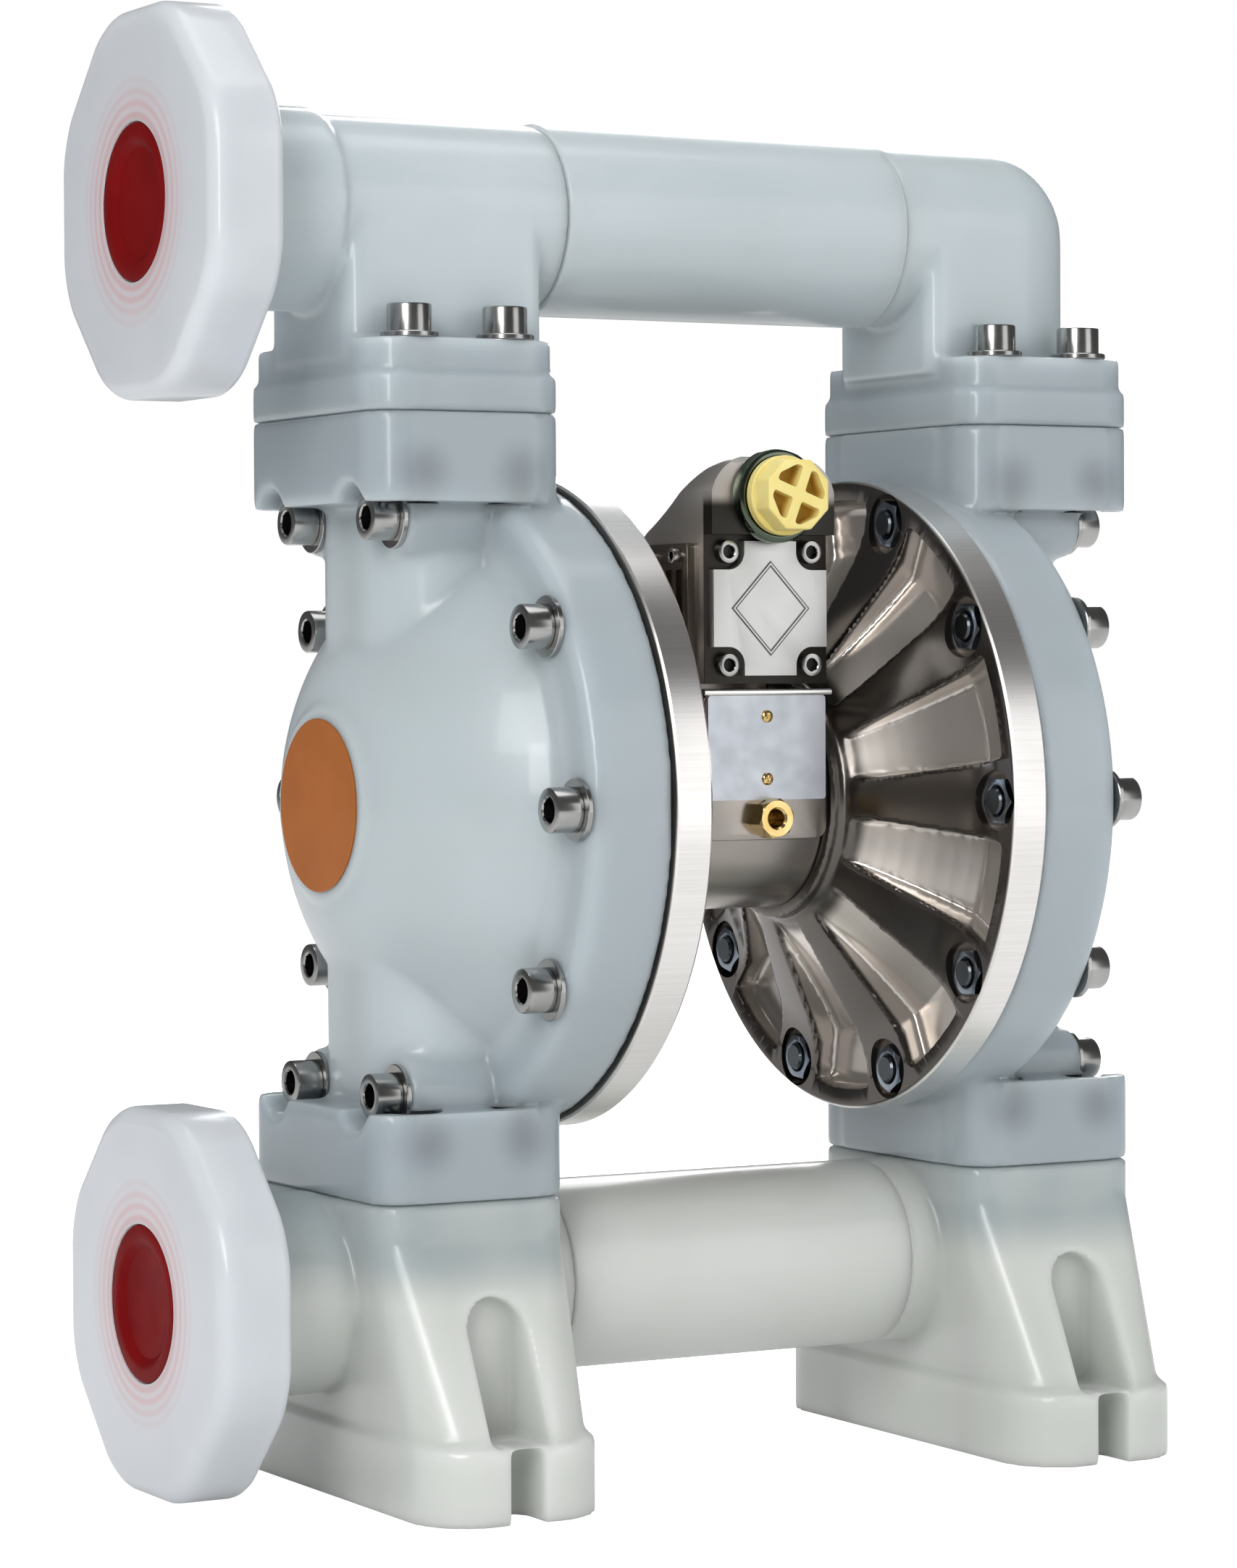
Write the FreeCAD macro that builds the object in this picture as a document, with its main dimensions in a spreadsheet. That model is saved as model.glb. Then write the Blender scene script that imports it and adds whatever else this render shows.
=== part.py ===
import FreeCAD, Part
import math
import os
import Sketcher

# Air operated double diaphragm pump with plastic fluid chambers and plated metal
# air chambers. X is the shaft axis, -Y the side of the air valve, Z up. The origin
# lies on the floor, midway between the four slots of the feet. Millimetres.

document = FreeCAD.newDocument("DiaphragmPump")
sheet = document.addObject("Spreadsheet::Sheet", "sizes")
Vector = FreeCAD.Vector
rowCount = 0


class Measure:
    """A number together with the formula that gives it from the sheet."""

    def __init__(self, number, formula):
        self.number = float(number)
        self.formula = formula

    def __add__(self, other):
        other = measure(other)
        return Measure(self.number + other.number, "(%s + %s)" % (self.formula, other.formula))

    def __sub__(self, other):
        other = measure(other)
        return Measure(self.number - other.number, "(%s - %s)" % (self.formula, other.formula))

    def __mul__(self, factor):
        return Measure(self.number * factor, "(%s * %r)" % (self.formula, factor))

    def __neg__(self):
        return Measure(-self.number, "(0 - %s)" % self.formula)

    def __rsub__(self, other):
        return measure(other) - self

    def __radd__(self, other):
        return measure(other) + self


def measure(value):
    if isinstance(value, Measure):
        return value
    return Measure(value, "(%r)" % float(value))


def size(name, number):
    global rowCount
    rowCount += 1
    sheet.set("A%d" % rowCount, name)
    sheet.set("B%d" % rowCount, str(number))
    sheet.setAlias("B%d" % rowCount, name)
    return Measure(number, "sizes.%s" % name)


# Whole pump
shaftHeight = size("shaftHeight", 249)
fitGap = size("fitGap", 0.3)
runningGap = size("runningGap", 0.05)

# Air chamber discs
rimRadius = size("rimRadius", 120)
rimFace = size("rimFace", 62.5)
rimThickness = size("rimThickness", 14.8)
rimEdge = size("rimEdge", 1.2)
ribRimInset = size("ribRimInset", 22)
ribRimBlend = size("ribRimBlend", 46)
hubFace = size("hubFace", 30)
collarRadius = size("collarRadius", 46)
collarWidth = size("collarWidth", 6)
webStartRadius = size("webStartRadius", 48.5)
dishFloor = size("dishFloor", 37.5)
dishFloorRadius = size("dishFloorRadius", 41)
dishRimInset = size("dishRimInset", 29)
dishRimDepth = size("dishRimDepth", 2)
pocketAngle = size("pocketAngle", 20)
pocketRimDepth = size("pocketRimDepth", 8.5)
pocketHubDepth = size("pocketHubDepth", 2)
pocketKneeInset = size("pocketKneeInset", 28)
pocketEndInset = size("pocketEndInset", 7.5)
pocketEndRounding = size("pocketEndRounding", 5)
scoopBend = size("scoopBend", 260)

# Bolts round the covers
boltInset = size("boltInset", 12)
boltCount = size("boltCount", 10)
boltRadius = size("boltRadius", 5)
boltClearance = size("boltClearance", 0.4)
headRadius = size("headRadius", 8)
headHeight = size("headHeight", 10)
socketRadius = size("socketRadius", 4.6)
socketDepth = size("socketDepth", 6)
washerRadius = size("washerRadius", 11)
flangeWasherRadius = size("flangeWasherRadius", 10.4)
washerThickness = size("washerThickness", 2)
nutRadius = size("nutRadius", 9.2)
nutHeight = size("nutHeight", 8)
nutRecessRadius = size("nutRecessRadius", 11.4)
threadTail = size("threadTail", 1.5)
seatClearance = size("seatClearance", 1)

# Fluid covers
coverGap = size("coverGap", 0.4)
coverRimInset = size("coverRimInset", 1.5)
coverRimWidth = size("coverRimWidth", 32)
coverRimRounding = size("coverRimRounding", 6)
domeFootInset = size("domeFootInset", 25)
domeTop = size("domeTop", 157.8)
domeTopRadius = size("domeTopRadius", 36)
domeTopStep = size("domeTopStep", 2.5)
domeArc = size("domeArc", 105)
coverWall = size("coverWall", 8)
neckInner = size("neckInner", 84)
neckOuter = size("neckOuter", 146)
neckHalfWidth = size("neckHalfWidth", 40)
neckOuterCorner = size("neckOuterCorner", 27)
neckInnerCorner = size("neckInnerCorner", 6)
highSeat = size("highSeat", 142.9)

# Flanges between covers and manifolds
flangeCentre = size("flangeCentre", 123.4)
flangeHalfDepth = size("flangeHalfDepth", 38.5)
flangeHalfWidth = size("flangeHalfWidth", 57)
flangeCorner = size("flangeCorner", 14)
flangeLip = size("flangeLip", 1.5)
seamHeight = size("seamHeight", 140)
coverFlangeHeight = size("coverFlangeHeight", 32)
manifoldFlangeHeight = size("manifoldFlangeHeight", 26)
flangeBoltDepth = size("flangeBoltDepth", 19)
flangeBoltWidth = size("flangeBoltWidth", 44.5)
nutPocketDepth = size("nutPocketDepth", 14)
nutPocketRadius = size("nutPocketRadius", 10)

# Check valves
portCentre = size("portCentre", 121)
cageRadius = size("cageRadius", 21)
ballRadius = size("ballRadius", 18.5)
ballLift = size("ballLift", 9)
seatRadius = size("seatRadius", 24)
seatBore = size("seatBore", 14)
seatHalfHeight = size("seatHalfHeight", 3)
seatRestGap = size("seatRestGap", 0.3)
stopRadius = size("stopRadius", 3)
stopGap = size("stopGap", 1.5)

# Manifolds
upperPipeHeight = size("upperPipeHeight", 214.1)
lowerPipeCrown = size("lowerPipeCrown", 0.3)
pipeRadius = size("pipeRadius", 34.2)
sleeveRadius = size("sleeveRadius", 35.2)
sleeveHalfLength = size("sleeveHalfLength", 72)
pipeBore = size("pipeBore", 25)
hubRadius = size("hubRadius", 36.6)
hubGap = size("hubGap", 0.5)
branchHalfWidth = size("branchHalfWidth", 34.2)
branchInner = size("branchInner", 82.5)
branchOuter = size("branchOuter", 161)
branchCorner = size("branchCorner", 6)

# Port flanges
portBack = size("portBack", 201)
portThickness = size("portThickness", 27.6)
portApothem = size("portApothem", 69)
portSides = size("portSides", 8)
portCornerRounding = size("portCornerRounding", 14)
portEdge = size("portEdge", 6)
portThread = size("portThread", 24)
portRecess = size("portRecess", 28.4)
portRecessDepth = size("portRecessDepth", 4)
plugThickness = size("plugThickness", 3.5)
plugStem = size("plugStem", 14)
plugWall = size("plugWall", 2.5)

# Feet
footHalfDepth = size("footHalfDepth", 35.5)
footHalfWidth = size("footHalfWidth", 95)
footCorner = size("footCorner", 24)
footThickness = size("footThickness", 27)
footEdge = size("footEdge", 4)
legFootDepth = size("legFootDepth", 33.8)
legFootWidth = size("legFootWidth", 91)
legTopDepth = size("legTopDepth", 38)
legTopWidth = size("legTopWidth", 57)
slotHalfWidth = size("slotHalfWidth", 6.5)
slotCentre = size("slotCentre", 80)
archHalfWidth = size("archHalfWidth", 11.5)
archTop = size("archTop", 173)
archBack = size("archBack", 60)

# Shaft, plates and diaphragms
shaftRadius = size("shaftRadius", 10)
shaftEndRadius = size("shaftEndRadius", 6)
bushRadius = size("bushRadius", 14)
bushInner = size("bushInner", 12)
bushEnd = size("bushEnd", 36)
plateInner = size("plateInner", 51)
plateThickness = size("plateThickness", 6)
plateRadius = size("plateRadius", 38)
diaphragmThickness = size("diaphragmThickness", 3)
outerPlateRise = size("outerPlateRise", 17)
outerPlateShoulder = size("outerPlateShoulder", 22)
outerPlateCrown = size("outerPlateCrown", 12)
clampMargin = size("clampMargin", 4)
convolutionInset = size("convolutionInset", 12)
convolutionDepth = size("convolutionDepth", 8.5)
beadInnerInset = size("beadInnerInset", 30)
beadOuterInset = size("beadOuterInset", 20)
beadDepth = size("beadDepth", 3)

# Centre body and air valve
bodyRadius = size("bodyRadius", 42)
padFront = size("padFront", 50)
padHalfWidth = size("padHalfWidth", 26)
padTop = size("padTop", 41)
padBottom = size("padBottom", 14.5)
padCorner = size("padCorner", 5)
valveBottom = size("valveBottom", 43)
valveRear = size("valveRear", 10)
valveRearTop = size("valveRearTop", 88)
valveShoulder = size("valveShoulder", 99.5)
valveShoulderRear = size("valveShoulderRear", 8)
valveSlopeTop = size("valveSlopeTop", 122)
valveSlopeRear = size("valveSlopeRear", 43.7)
valveTop = size("valveTop", 126)
valveTopRear = size("valveTopRear", 53)
valveBrow = size("valveBrow", 56)
valveBrowTop = size("valveBrowTop", 123.5)
valveBrowBottom = size("valveBrowBottom", 97.5)
spoolHeight = size("spoolHeight", 70)
spoolDepth = size("spoolDepth", 26)
spoolRadius = size("spoolRadius", 9)
spoolNeck = size("spoolNeck", 6)
spoolHalfLength = size("spoolHalfLength", 20)
capThickness = size("capThickness", 3.2)
capHeight = size("capHeight", 48)
capWidth = size("capWidth", 34)
capSlotDrop = size("capSlotDrop", 15.8)
capSlotRise = size("capSlotRise", 14.4)
capScrewDepth = size("capScrewDepth", 10)
capScrewHeight = size("capScrewHeight", 19.6)
capScrewHead = size("capScrewHead", 2.8)
capScrewShank = size("capScrewShank", 1.5)
capScrewReach = size("capScrewReach", 5)
facePlateHeight = size("facePlateHeight", 49.2)
facePlateWidth = size("facePlateWidth", 48)
facePlateThickness = size("facePlateThickness", 3.6)
facePlateCentre = size("facePlateCentre", 70.6)
faceScrewLength = size("faceScrewLength", 14)
valveArc = size("valveArc", 160)
faceScrewX = size("faceScrewX", 17.6)
faceScrewZ = size("faceScrewZ", 20.7)
faceScallop = size("faceScallop", 6.6)
faceScrewHead = size("faceScrewHead", 4.25)
faceScrewHeadHeight = size("faceScrewHeadHeight", 4)
faceScrewShank = size("faceScrewShank", 2.5)
diamondHalf = size("diamondHalf", 17.2)
diamondRise = size("diamondRise", 0.6)
inletHeight = size("inletHeight", 111.6)
inletRadius = size("inletRadius", 17.2)
inletFront = size("inletFront", 61)
inletBore = size("inletBore", 10.5)
inletDepth = size("inletDepth", 18)
inletPlugRadius = size("inletPlugRadius", 14.2)
inletPlugCollar = size("inletPlugCollar", 14.6)
inletPlugCollarWidth = size("inletPlugCollarWidth", 4)
inletPlugLength = size("inletPlugLength", 9)
inletPlugStem = size("inletPlugStem", 12)
dataPlateWidth = size("dataPlateWidth", 50)
dataPlateHeight = size("dataPlateHeight", 38.3)
dataPlateThickness = size("dataPlateThickness", 0.8)
dataPlateCentre = size("dataPlateCentre", 19.5)
dataScrewRadius = size("dataScrewRadius", 2.3)
dataScrewSpread = size("dataScrewSpread", 11.5)
brassRadius = size("brassRadius", 7.6)
brassHeight = size("brassHeight", 8)
brassDrop = size("brassDrop", 6.4)
brassBore = size("brassBore", 3.4)
brassStem = size("brassStem", 5)
silencerRadius = size("silencerRadius", 15)
silencerLength = size("silencerLength", 46)
silencerStem = size("silencerStem", 9)
labelRadius = size("labelRadius", 31.4)
labelThickness = size("labelThickness", 1)

document.recompute()

# Mating places, all from the sizes above
ribRimRadius = rimRadius - ribRimInset
pocketEndRadius = rimRadius - pocketEndInset
dishRimRadius = rimRadius - dishRimInset
boltCircle = rimRadius - boltInset
coverRimRadius = rimRadius - coverRimInset
domeFootRadius = rimRadius - domeFootInset
beadInner = rimRadius - beadInnerInset
beadOuter = rimRadius - beadOuterInset
lowerPipeHeight = seamHeight + sleeveRadius + lowerPipeCrown
hubStart = flangeCentre + flangeHalfDepth + hubGap
rimBack = rimFace + rimThickness
coverFace = rimBack + coverGap
coverSeat = coverFace + coverRimWidth
nutSeat = rimFace + nutHeight - fitGap
ballRest = Measure(
    math.sqrt(ballRadius.number ** 2 - seatBore.number ** 2),
    "sqrt(pow(sizes.ballRadius; 2) - pow(sizes.seatBore; 2))",
)
ballReach = ballRest + seatRestGap + ballRadius + ballLift + stopGap + stopRadius
coverFlangeStart = seamHeight - coverFlangeHeight
manifoldFlangeEnd = seamHeight + manifoldFlangeHeight
portFront = portBack + portThickness
valveGasketEnd = valveRear - padHalfWidth * 0.75
footTop = shaftHeight - footThickness
diaphragmInner = plateInner + plateThickness
seatTop = seamHeight + seatHalfHeight
outerPlateFace = diaphragmInner + diaphragmThickness


# Small tools for bodies, sketches and features

def originPart(body, role):
    for feature in body.Origin.OriginFeatures:
        if feature.Role == role:
            return feature
    raise RuntimeError(role)


def newBody(label, turned=False, hanging=False):
    # turned puts a piece on the other side of the pump; hanging points its own +Z
    # down, for the pieces under the shaft.
    body = document.addObject("PartDesign::Body", label)
    body.Label = label
    rotation = FreeCAD.Rotation(Vector(0, 0, 1), 180 if turned else 0)
    if hanging:
        rotation = rotation.multiply(FreeCAD.Rotation(Vector(1, 0, 0), 180))
    body.Placement = FreeCAD.Placement(Vector(0, 0, shaftHeight.number), rotation)
    body.setExpression("Placement.Base.z", shaftHeight.formula)
    return body


def newSketch(body, role, offset=0):
    offset = measure(offset)
    sketch = body.newObject("Sketcher::SketchObject", body.Name + "Sketch")
    sketch.AttachmentSupport = [(originPart(body, role), "")]
    sketch.MapMode = "FlatFace"
    sketch.AttachmentOffset = FreeCAD.Placement(Vector(0, 0, offset.number), FreeCAD.Rotation())
    sketch.setExpression("AttachmentOffset.Base.z", offset.formula)
    return sketch


def holdPoint(sketch, geometry, point, place):
    across, along = measure(place[0]), measure(place[1])
    first = sketch.addConstraint(
        Sketcher.Constraint("DistanceX", -1, 1, geometry, point, across.number)
    )
    sketch.setExpression("Constraints[%d]" % first, across.formula)
    second = sketch.addConstraint(
        Sketcher.Constraint("DistanceY", -1, 1, geometry, point, along.number)
    )
    sketch.setExpression("Constraints[%d]" % second, along.formula)


def arcMiddle(start, end, radius):
    # The point halfway along the shorter arc; a positive radius bulges to the right
    # of the way from start to end.
    chord = end - start
    half = chord.Length / 2
    rise = abs(radius) - math.sqrt(max(radius * radius - half * half, 0))
    side = Vector(chord.y, -chord.x, 0).normalize()
    return (start + end) * 0.5 + side * (rise if radius > 0 else -rise)


def outline(sketch, places, arcs=None):
    # Straight lines from place to place; arcs gives a radius for the edge that
    # starts at that place.
    arcs = arcs or {}
    count = len(places)
    points = []
    for place in places:
        points.append(Vector(measure(place[0]).number, measure(place[1]).number, 0))
    firstEdge = sketch.GeometryCount
    starts = {}
    ends = {}
    for index in range(count):
        start = points[index]
        end = points[(index + 1) % count]
        if index in arcs:
            middle = arcMiddle(start, end, measure(arcs[index]).number)
            arc = Part.Arc(start, middle, end)
            edge = sketch.addGeometry(arc, False)
            turned = sketch.getPoint(edge, 1).distanceToPoint(start) > 1e-6
            starts[index] = 2 if turned else 1
            ends[index] = 1 if turned else 2
        else:
            edge = sketch.addGeometry(Part.LineSegment(start, end), False)
            starts[index] = 1
            ends[index] = 2
    for index in range(count):
        following = (index + 1) % count
        sketch.addConstraint(
            Sketcher.Constraint(
                "Coincident",
                firstEdge + index,
                ends[index],
                firstEdge + following,
                starts[following],
            )
        )
    for index in range(count):
        holdPoint(sketch, firstEdge + index, starts[index], places[index])
        if index in arcs:
            bend = measure(arcs[index])
            if bend.number < 0:
                bend = -bend
            name = sketch.addConstraint(
                Sketcher.Constraint("Radius", firstEdge + index, bend.number)
            )
            sketch.setExpression("Constraints[%d]" % name, bend.formula)


def halfRound(sketch, left, right, base, tip, deep):
    # A slot with one round end: two sides from the base line to where the round
    # starts, and a half circle between them. deep swaps across and along.
    def swap(across, along):
        return (along, across) if deep else (across, along)

    left, right, base, tip = measure(left), measure(right), measure(base), measure(tip)
    middle = (left + right) * 0.5
    half = (right - left) * 0.5
    sign = 1 if tip.number > base.number else -1
    start = tip - half * sign
    places = [swap(right, start), swap(right, base), swap(left, base), swap(left, start)]
    points = [Vector(measure(x).number, measure(y).number, 0) for x, y in places]
    top = swap(middle, tip)
    peak = Vector(top[0].number, top[1].number, 0)
    edges = []
    for index in range(3):
        line = Part.LineSegment(points[index], points[index + 1])
        edges.append(sketch.addGeometry(line, False))
    arc = sketch.addGeometry(Part.Arc(points[3], peak, points[0]), False)
    arcStart = 1
    if sketch.getPoint(arc, 1).distanceToPoint(points[3]) > 1e-6:
        arcStart = 2
    sketch.addConstraint(Sketcher.Constraint("Coincident", edges[0], 2, edges[1], 1))
    sketch.addConstraint(Sketcher.Constraint("Coincident", edges[1], 2, edges[2], 1))
    sketch.addConstraint(Sketcher.Constraint("Coincident", edges[2], 2, arc, arcStart))
    sketch.addConstraint(Sketcher.Constraint("Coincident", arc, 3 - arcStart, edges[0], 1))
    for index in range(3):
        holdPoint(sketch, edges[index], 1, places[index])
    holdPoint(sketch, edges[2], 2, places[3])
    kind = "DistanceX" if deep else "DistanceY"
    name = sketch.addConstraint(Sketcher.Constraint(kind, -1, 1, arc, 3, start.number))
    sketch.setExpression("Constraints[%d]" % name, start.formula)


def circle(sketch, across, along, radius):
    across, along, radius = measure(across), measure(along), measure(radius)
    shape = Part.Circle(Vector(across.number, along.number, 0), Vector(0, 0, 1), radius.number)
    edge = sketch.addGeometry(shape, False)
    name = sketch.addConstraint(Sketcher.Constraint("Radius", edge, radius.number))
    sketch.setExpression("Constraints[%d]" % name, radius.formula)
    holdPoint(sketch, edge, 3, (across, along))


def roundedBox(sketch, left, right, low, high, leftCorner, rightCorner=None):
    left, right, low, high = measure(left), measure(right), measure(low), measure(high)
    leftCorner = measure(leftCorner)
    rightCorner = measure(rightCorner if rightCorner is not None else leftCorner)
    places = [
        (left + leftCorner, low),
        (right - rightCorner, low),
        (right, low + rightCorner),
        (right, high - rightCorner),
        (right - rightCorner, high),
        (left + leftCorner, high),
        (left, high - leftCorner),
        (left, low + leftCorner),
    ]
    outline(sketch, places, {1: rightCorner, 3: rightCorner, 5: leftCorner, 7: leftCorner})


def feature(body, kind, sketch, settings):
    item = body.newObject(kind, body.Name + kind.split("::")[1])
    item.Profile = sketch
    for name in settings:
        value = settings[name]
        if isinstance(value, Measure):
            setattr(item, name, value.number)
            item.setExpression(name, value.formula)
        else:
            setattr(item, name, value)
    sketch.Visibility = False
    return item


def volumeOf(body):
    document.recompute()
    return body.Shape.Volume if body.Shape and not body.Shape.isNull() else 0


def pad(body, sketch, length, reverse=False):
    before = volumeOf(body)
    item = feature(body, "PartDesign::Pad", sketch, {"Length": measure(length), "Reversed": reverse})
    if volumeOf(body) <= before:
        raise RuntimeError("pad adds nothing: " + item.Name)
    return item


def pocket(body, sketch, length, reverse=False):
    before = volumeOf(body)
    item = feature(body, "PartDesign::Pocket", sketch, {"Length": measure(length), "Reversed": reverse})
    if volumeOf(body) >= before:
        raise RuntimeError("pocket cuts nothing: " + item.Name)
    return item


def revolve(body, sketch, kind="PartDesign::Revolution", angle=360.0, axis="H_Axis"):
    before = volumeOf(body)
    item = feature(body, kind, sketch, {"ReferenceAxis": (sketch, [axis]), "Angle": measure(angle)})
    after = volumeOf(body)
    if kind.endswith("Groove") and after >= before:
        raise RuntimeError("groove cuts nothing: " + item.Name)
    return item


def aroundAxis(body, items, role, count):
    before = volumeOf(body)
    pattern = body.newObject("PartDesign::PolarPattern", body.Name + "Pattern")
    pattern.Originals = items
    pattern.Axis = (originPart(body, role), [""])
    pattern.Angle = 360
    pattern.Occurrences = int(count.number)
    pattern.setExpression("Occurrences", count.formula)
    body.Tip = pattern
    if abs(volumeOf(body) - before) < 1:
        raise RuntimeError("pattern changes nothing: " + pattern.Name)
    return pattern


def mirrorOver(body, items, role):
    before = volumeOf(body)
    mirrored = body.newObject("PartDesign::Mirrored", body.Name + "Mirror")
    mirrored.Originals = items
    mirrored.MirrorPlane = (originPart(body, role), [""])
    body.Tip = mirrored
    if abs(volumeOf(body) - before) < 1:
        raise RuntimeError("mirror changes nothing: " + mirrored.Name)
    return mirrored


def roundEdges(body, radius, chosen):
    # Rounds the edges that the test picks, or leaves the shape as it was.
    radius = measure(radius)
    document.recompute()
    base = body.Tip
    names = []
    for index, edge in enumerate(base.Shape.Edges):
        if chosen(edge):
            names.append("Edge%d" % (index + 1))
    if not names:
        raise RuntimeError("no edges to round: " + base.Name)
    item = body.newObject("PartDesign::Fillet", body.Name + "Fillet")
    item.Base = (base, names)
    item.Radius = radius.number
    item.setExpression("Radius", radius.formula)
    document.recompute()
    if "Invalid" in item.State or "Error" in item.State or not item.Shape.isValid():
        raise RuntimeError("rounding failed: " + item.Name)
    return item


def box(edge):
    return edge.BoundBox


def near(value, target, margin=0.05):
    return abs(value - target) < margin


# Air chambers: one casting with ten webs, turned round for the other side

def makeAirChamber(label, turned):
    body = newBody(label, turned=turned)
    profile = newSketch(body, "XZ_Plane")
    outline(
        profile,
        [
            (hubFace, bushRadius + fitGap),
            (hubFace, collarRadius),
            (hubFace + collarWidth, collarRadius),
            (rimFace, ribRimRadius),
            (rimFace, rimRadius - rimEdge),
            (rimFace + rimEdge, rimRadius),
            (rimBack - rimEdge, rimRadius),
            (rimBack, rimRadius - rimEdge),
            (rimBack, dishRimRadius),
            (rimBack - dishRimDepth, dishRimRadius),
            (dishFloor, dishFloorRadius),
            (dishFloor, bushRadius + fitGap),
        ],
    )
    revolve(body, profile)
    span = 2 * ribRimRadius.number
    roundEdges(body, ribRimBlend, lambda edge: box(edge).XLength < 0.01 and near(box(edge).YLength, span))
    section = newSketch(body, "XZ_Plane")
    outline(
        section,
        [
            (hubFace + collarWidth - 4, webStartRadius),
            (hubFace + collarWidth + pocketHubDepth, webStartRadius),
            (rimFace + pocketRimDepth, rimRadius - pocketKneeInset),
            (rimFace + pocketRimDepth, pocketEndRadius - pocketEndRounding),
            (rimFace + pocketRimDepth - pocketEndRounding, pocketEndRadius),
            (rimFace - 4, pocketEndRadius),
        ],
        {1: scoopBend, 3: pocketEndRounding},
    )
    scoop = revolve(body, section, "PartDesign::Groove", pocketAngle)
    scoop.Midplane = True
    aroundAxis(body, [scoop], "X_Axis", boltCount)
    recess = newSketch(body, "YZ_Plane", rimFace - 2)
    circle(recess, -boltCircle, 0, nutRecessRadius)
    recessPocket = pocket(body, recess, nutHeight - fitGap + 2, True)
    hole = newSketch(body, "YZ_Plane", rimFace - 2)
    circle(hole, -boltCircle, 0, boltRadius + boltClearance)
    holePocket = pocket(body, hole, rimThickness + 4, True)
    aroundAxis(body, [recessPocket, holePocket], "X_Axis", boltCount)
    bead = newSketch(body, "XZ_Plane")
    outline(
        bead,
        [
            (rimBack - beadDepth, beadInner),
            (rimBack + 1, beadInner),
            (rimBack + 1, beadOuter),
            (rimBack - beadDepth, beadOuter),
        ],
    )
    revolve(body, bead, "PartDesign::Groove")
    return body


def boltPlaces():
    # Places of the cover bolts round the shaft, as (y, z), the first toward the valve.
    places = []
    for index in range(int(boltCount.number)):
        angle = 2 * math.pi * index / boltCount.number
        across = -boltCircle.number * math.cos(angle)
        along = boltCircle.number * math.sin(angle)
        places.append((across, along))
    return places


def onNeck(place):
    # True for the bolts that pass through the necks.
    return abs(place[0]) < neckHalfWidth.number and abs(place[1]) > domeFootRadius.number / 2


highStep = 360.0 / boltCount.number * 2
highAcross = measure(boltCircle) * math.cos(math.radians(highStep))
highAlong = measure(boltCircle) * math.sin(math.radians(highStep))


def flangeBlock(body, start, height, extra=0, reverse=False):
    extra = measure(extra)
    plan = newSketch(body, "XY_Plane", start)
    roundedBox(
        plan,
        flangeCentre - flangeHalfDepth - extra,
        flangeCentre + flangeHalfDepth + extra,
        -flangeHalfWidth - extra,
        flangeHalfWidth + extra,
        flangeCorner,
    )
    return pad(body, plan, height, reverse)


def flangeHoles(sketch, radius):
    for across in (flangeCentre - flangeBoltDepth, flangeCentre + flangeBoltDepth):
        for along in (-flangeBoltWidth, flangeBoltWidth):
            circle(sketch, across, along, radius)


# Fluid covers: dome, two necks and their flanges, all one moulding

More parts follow.
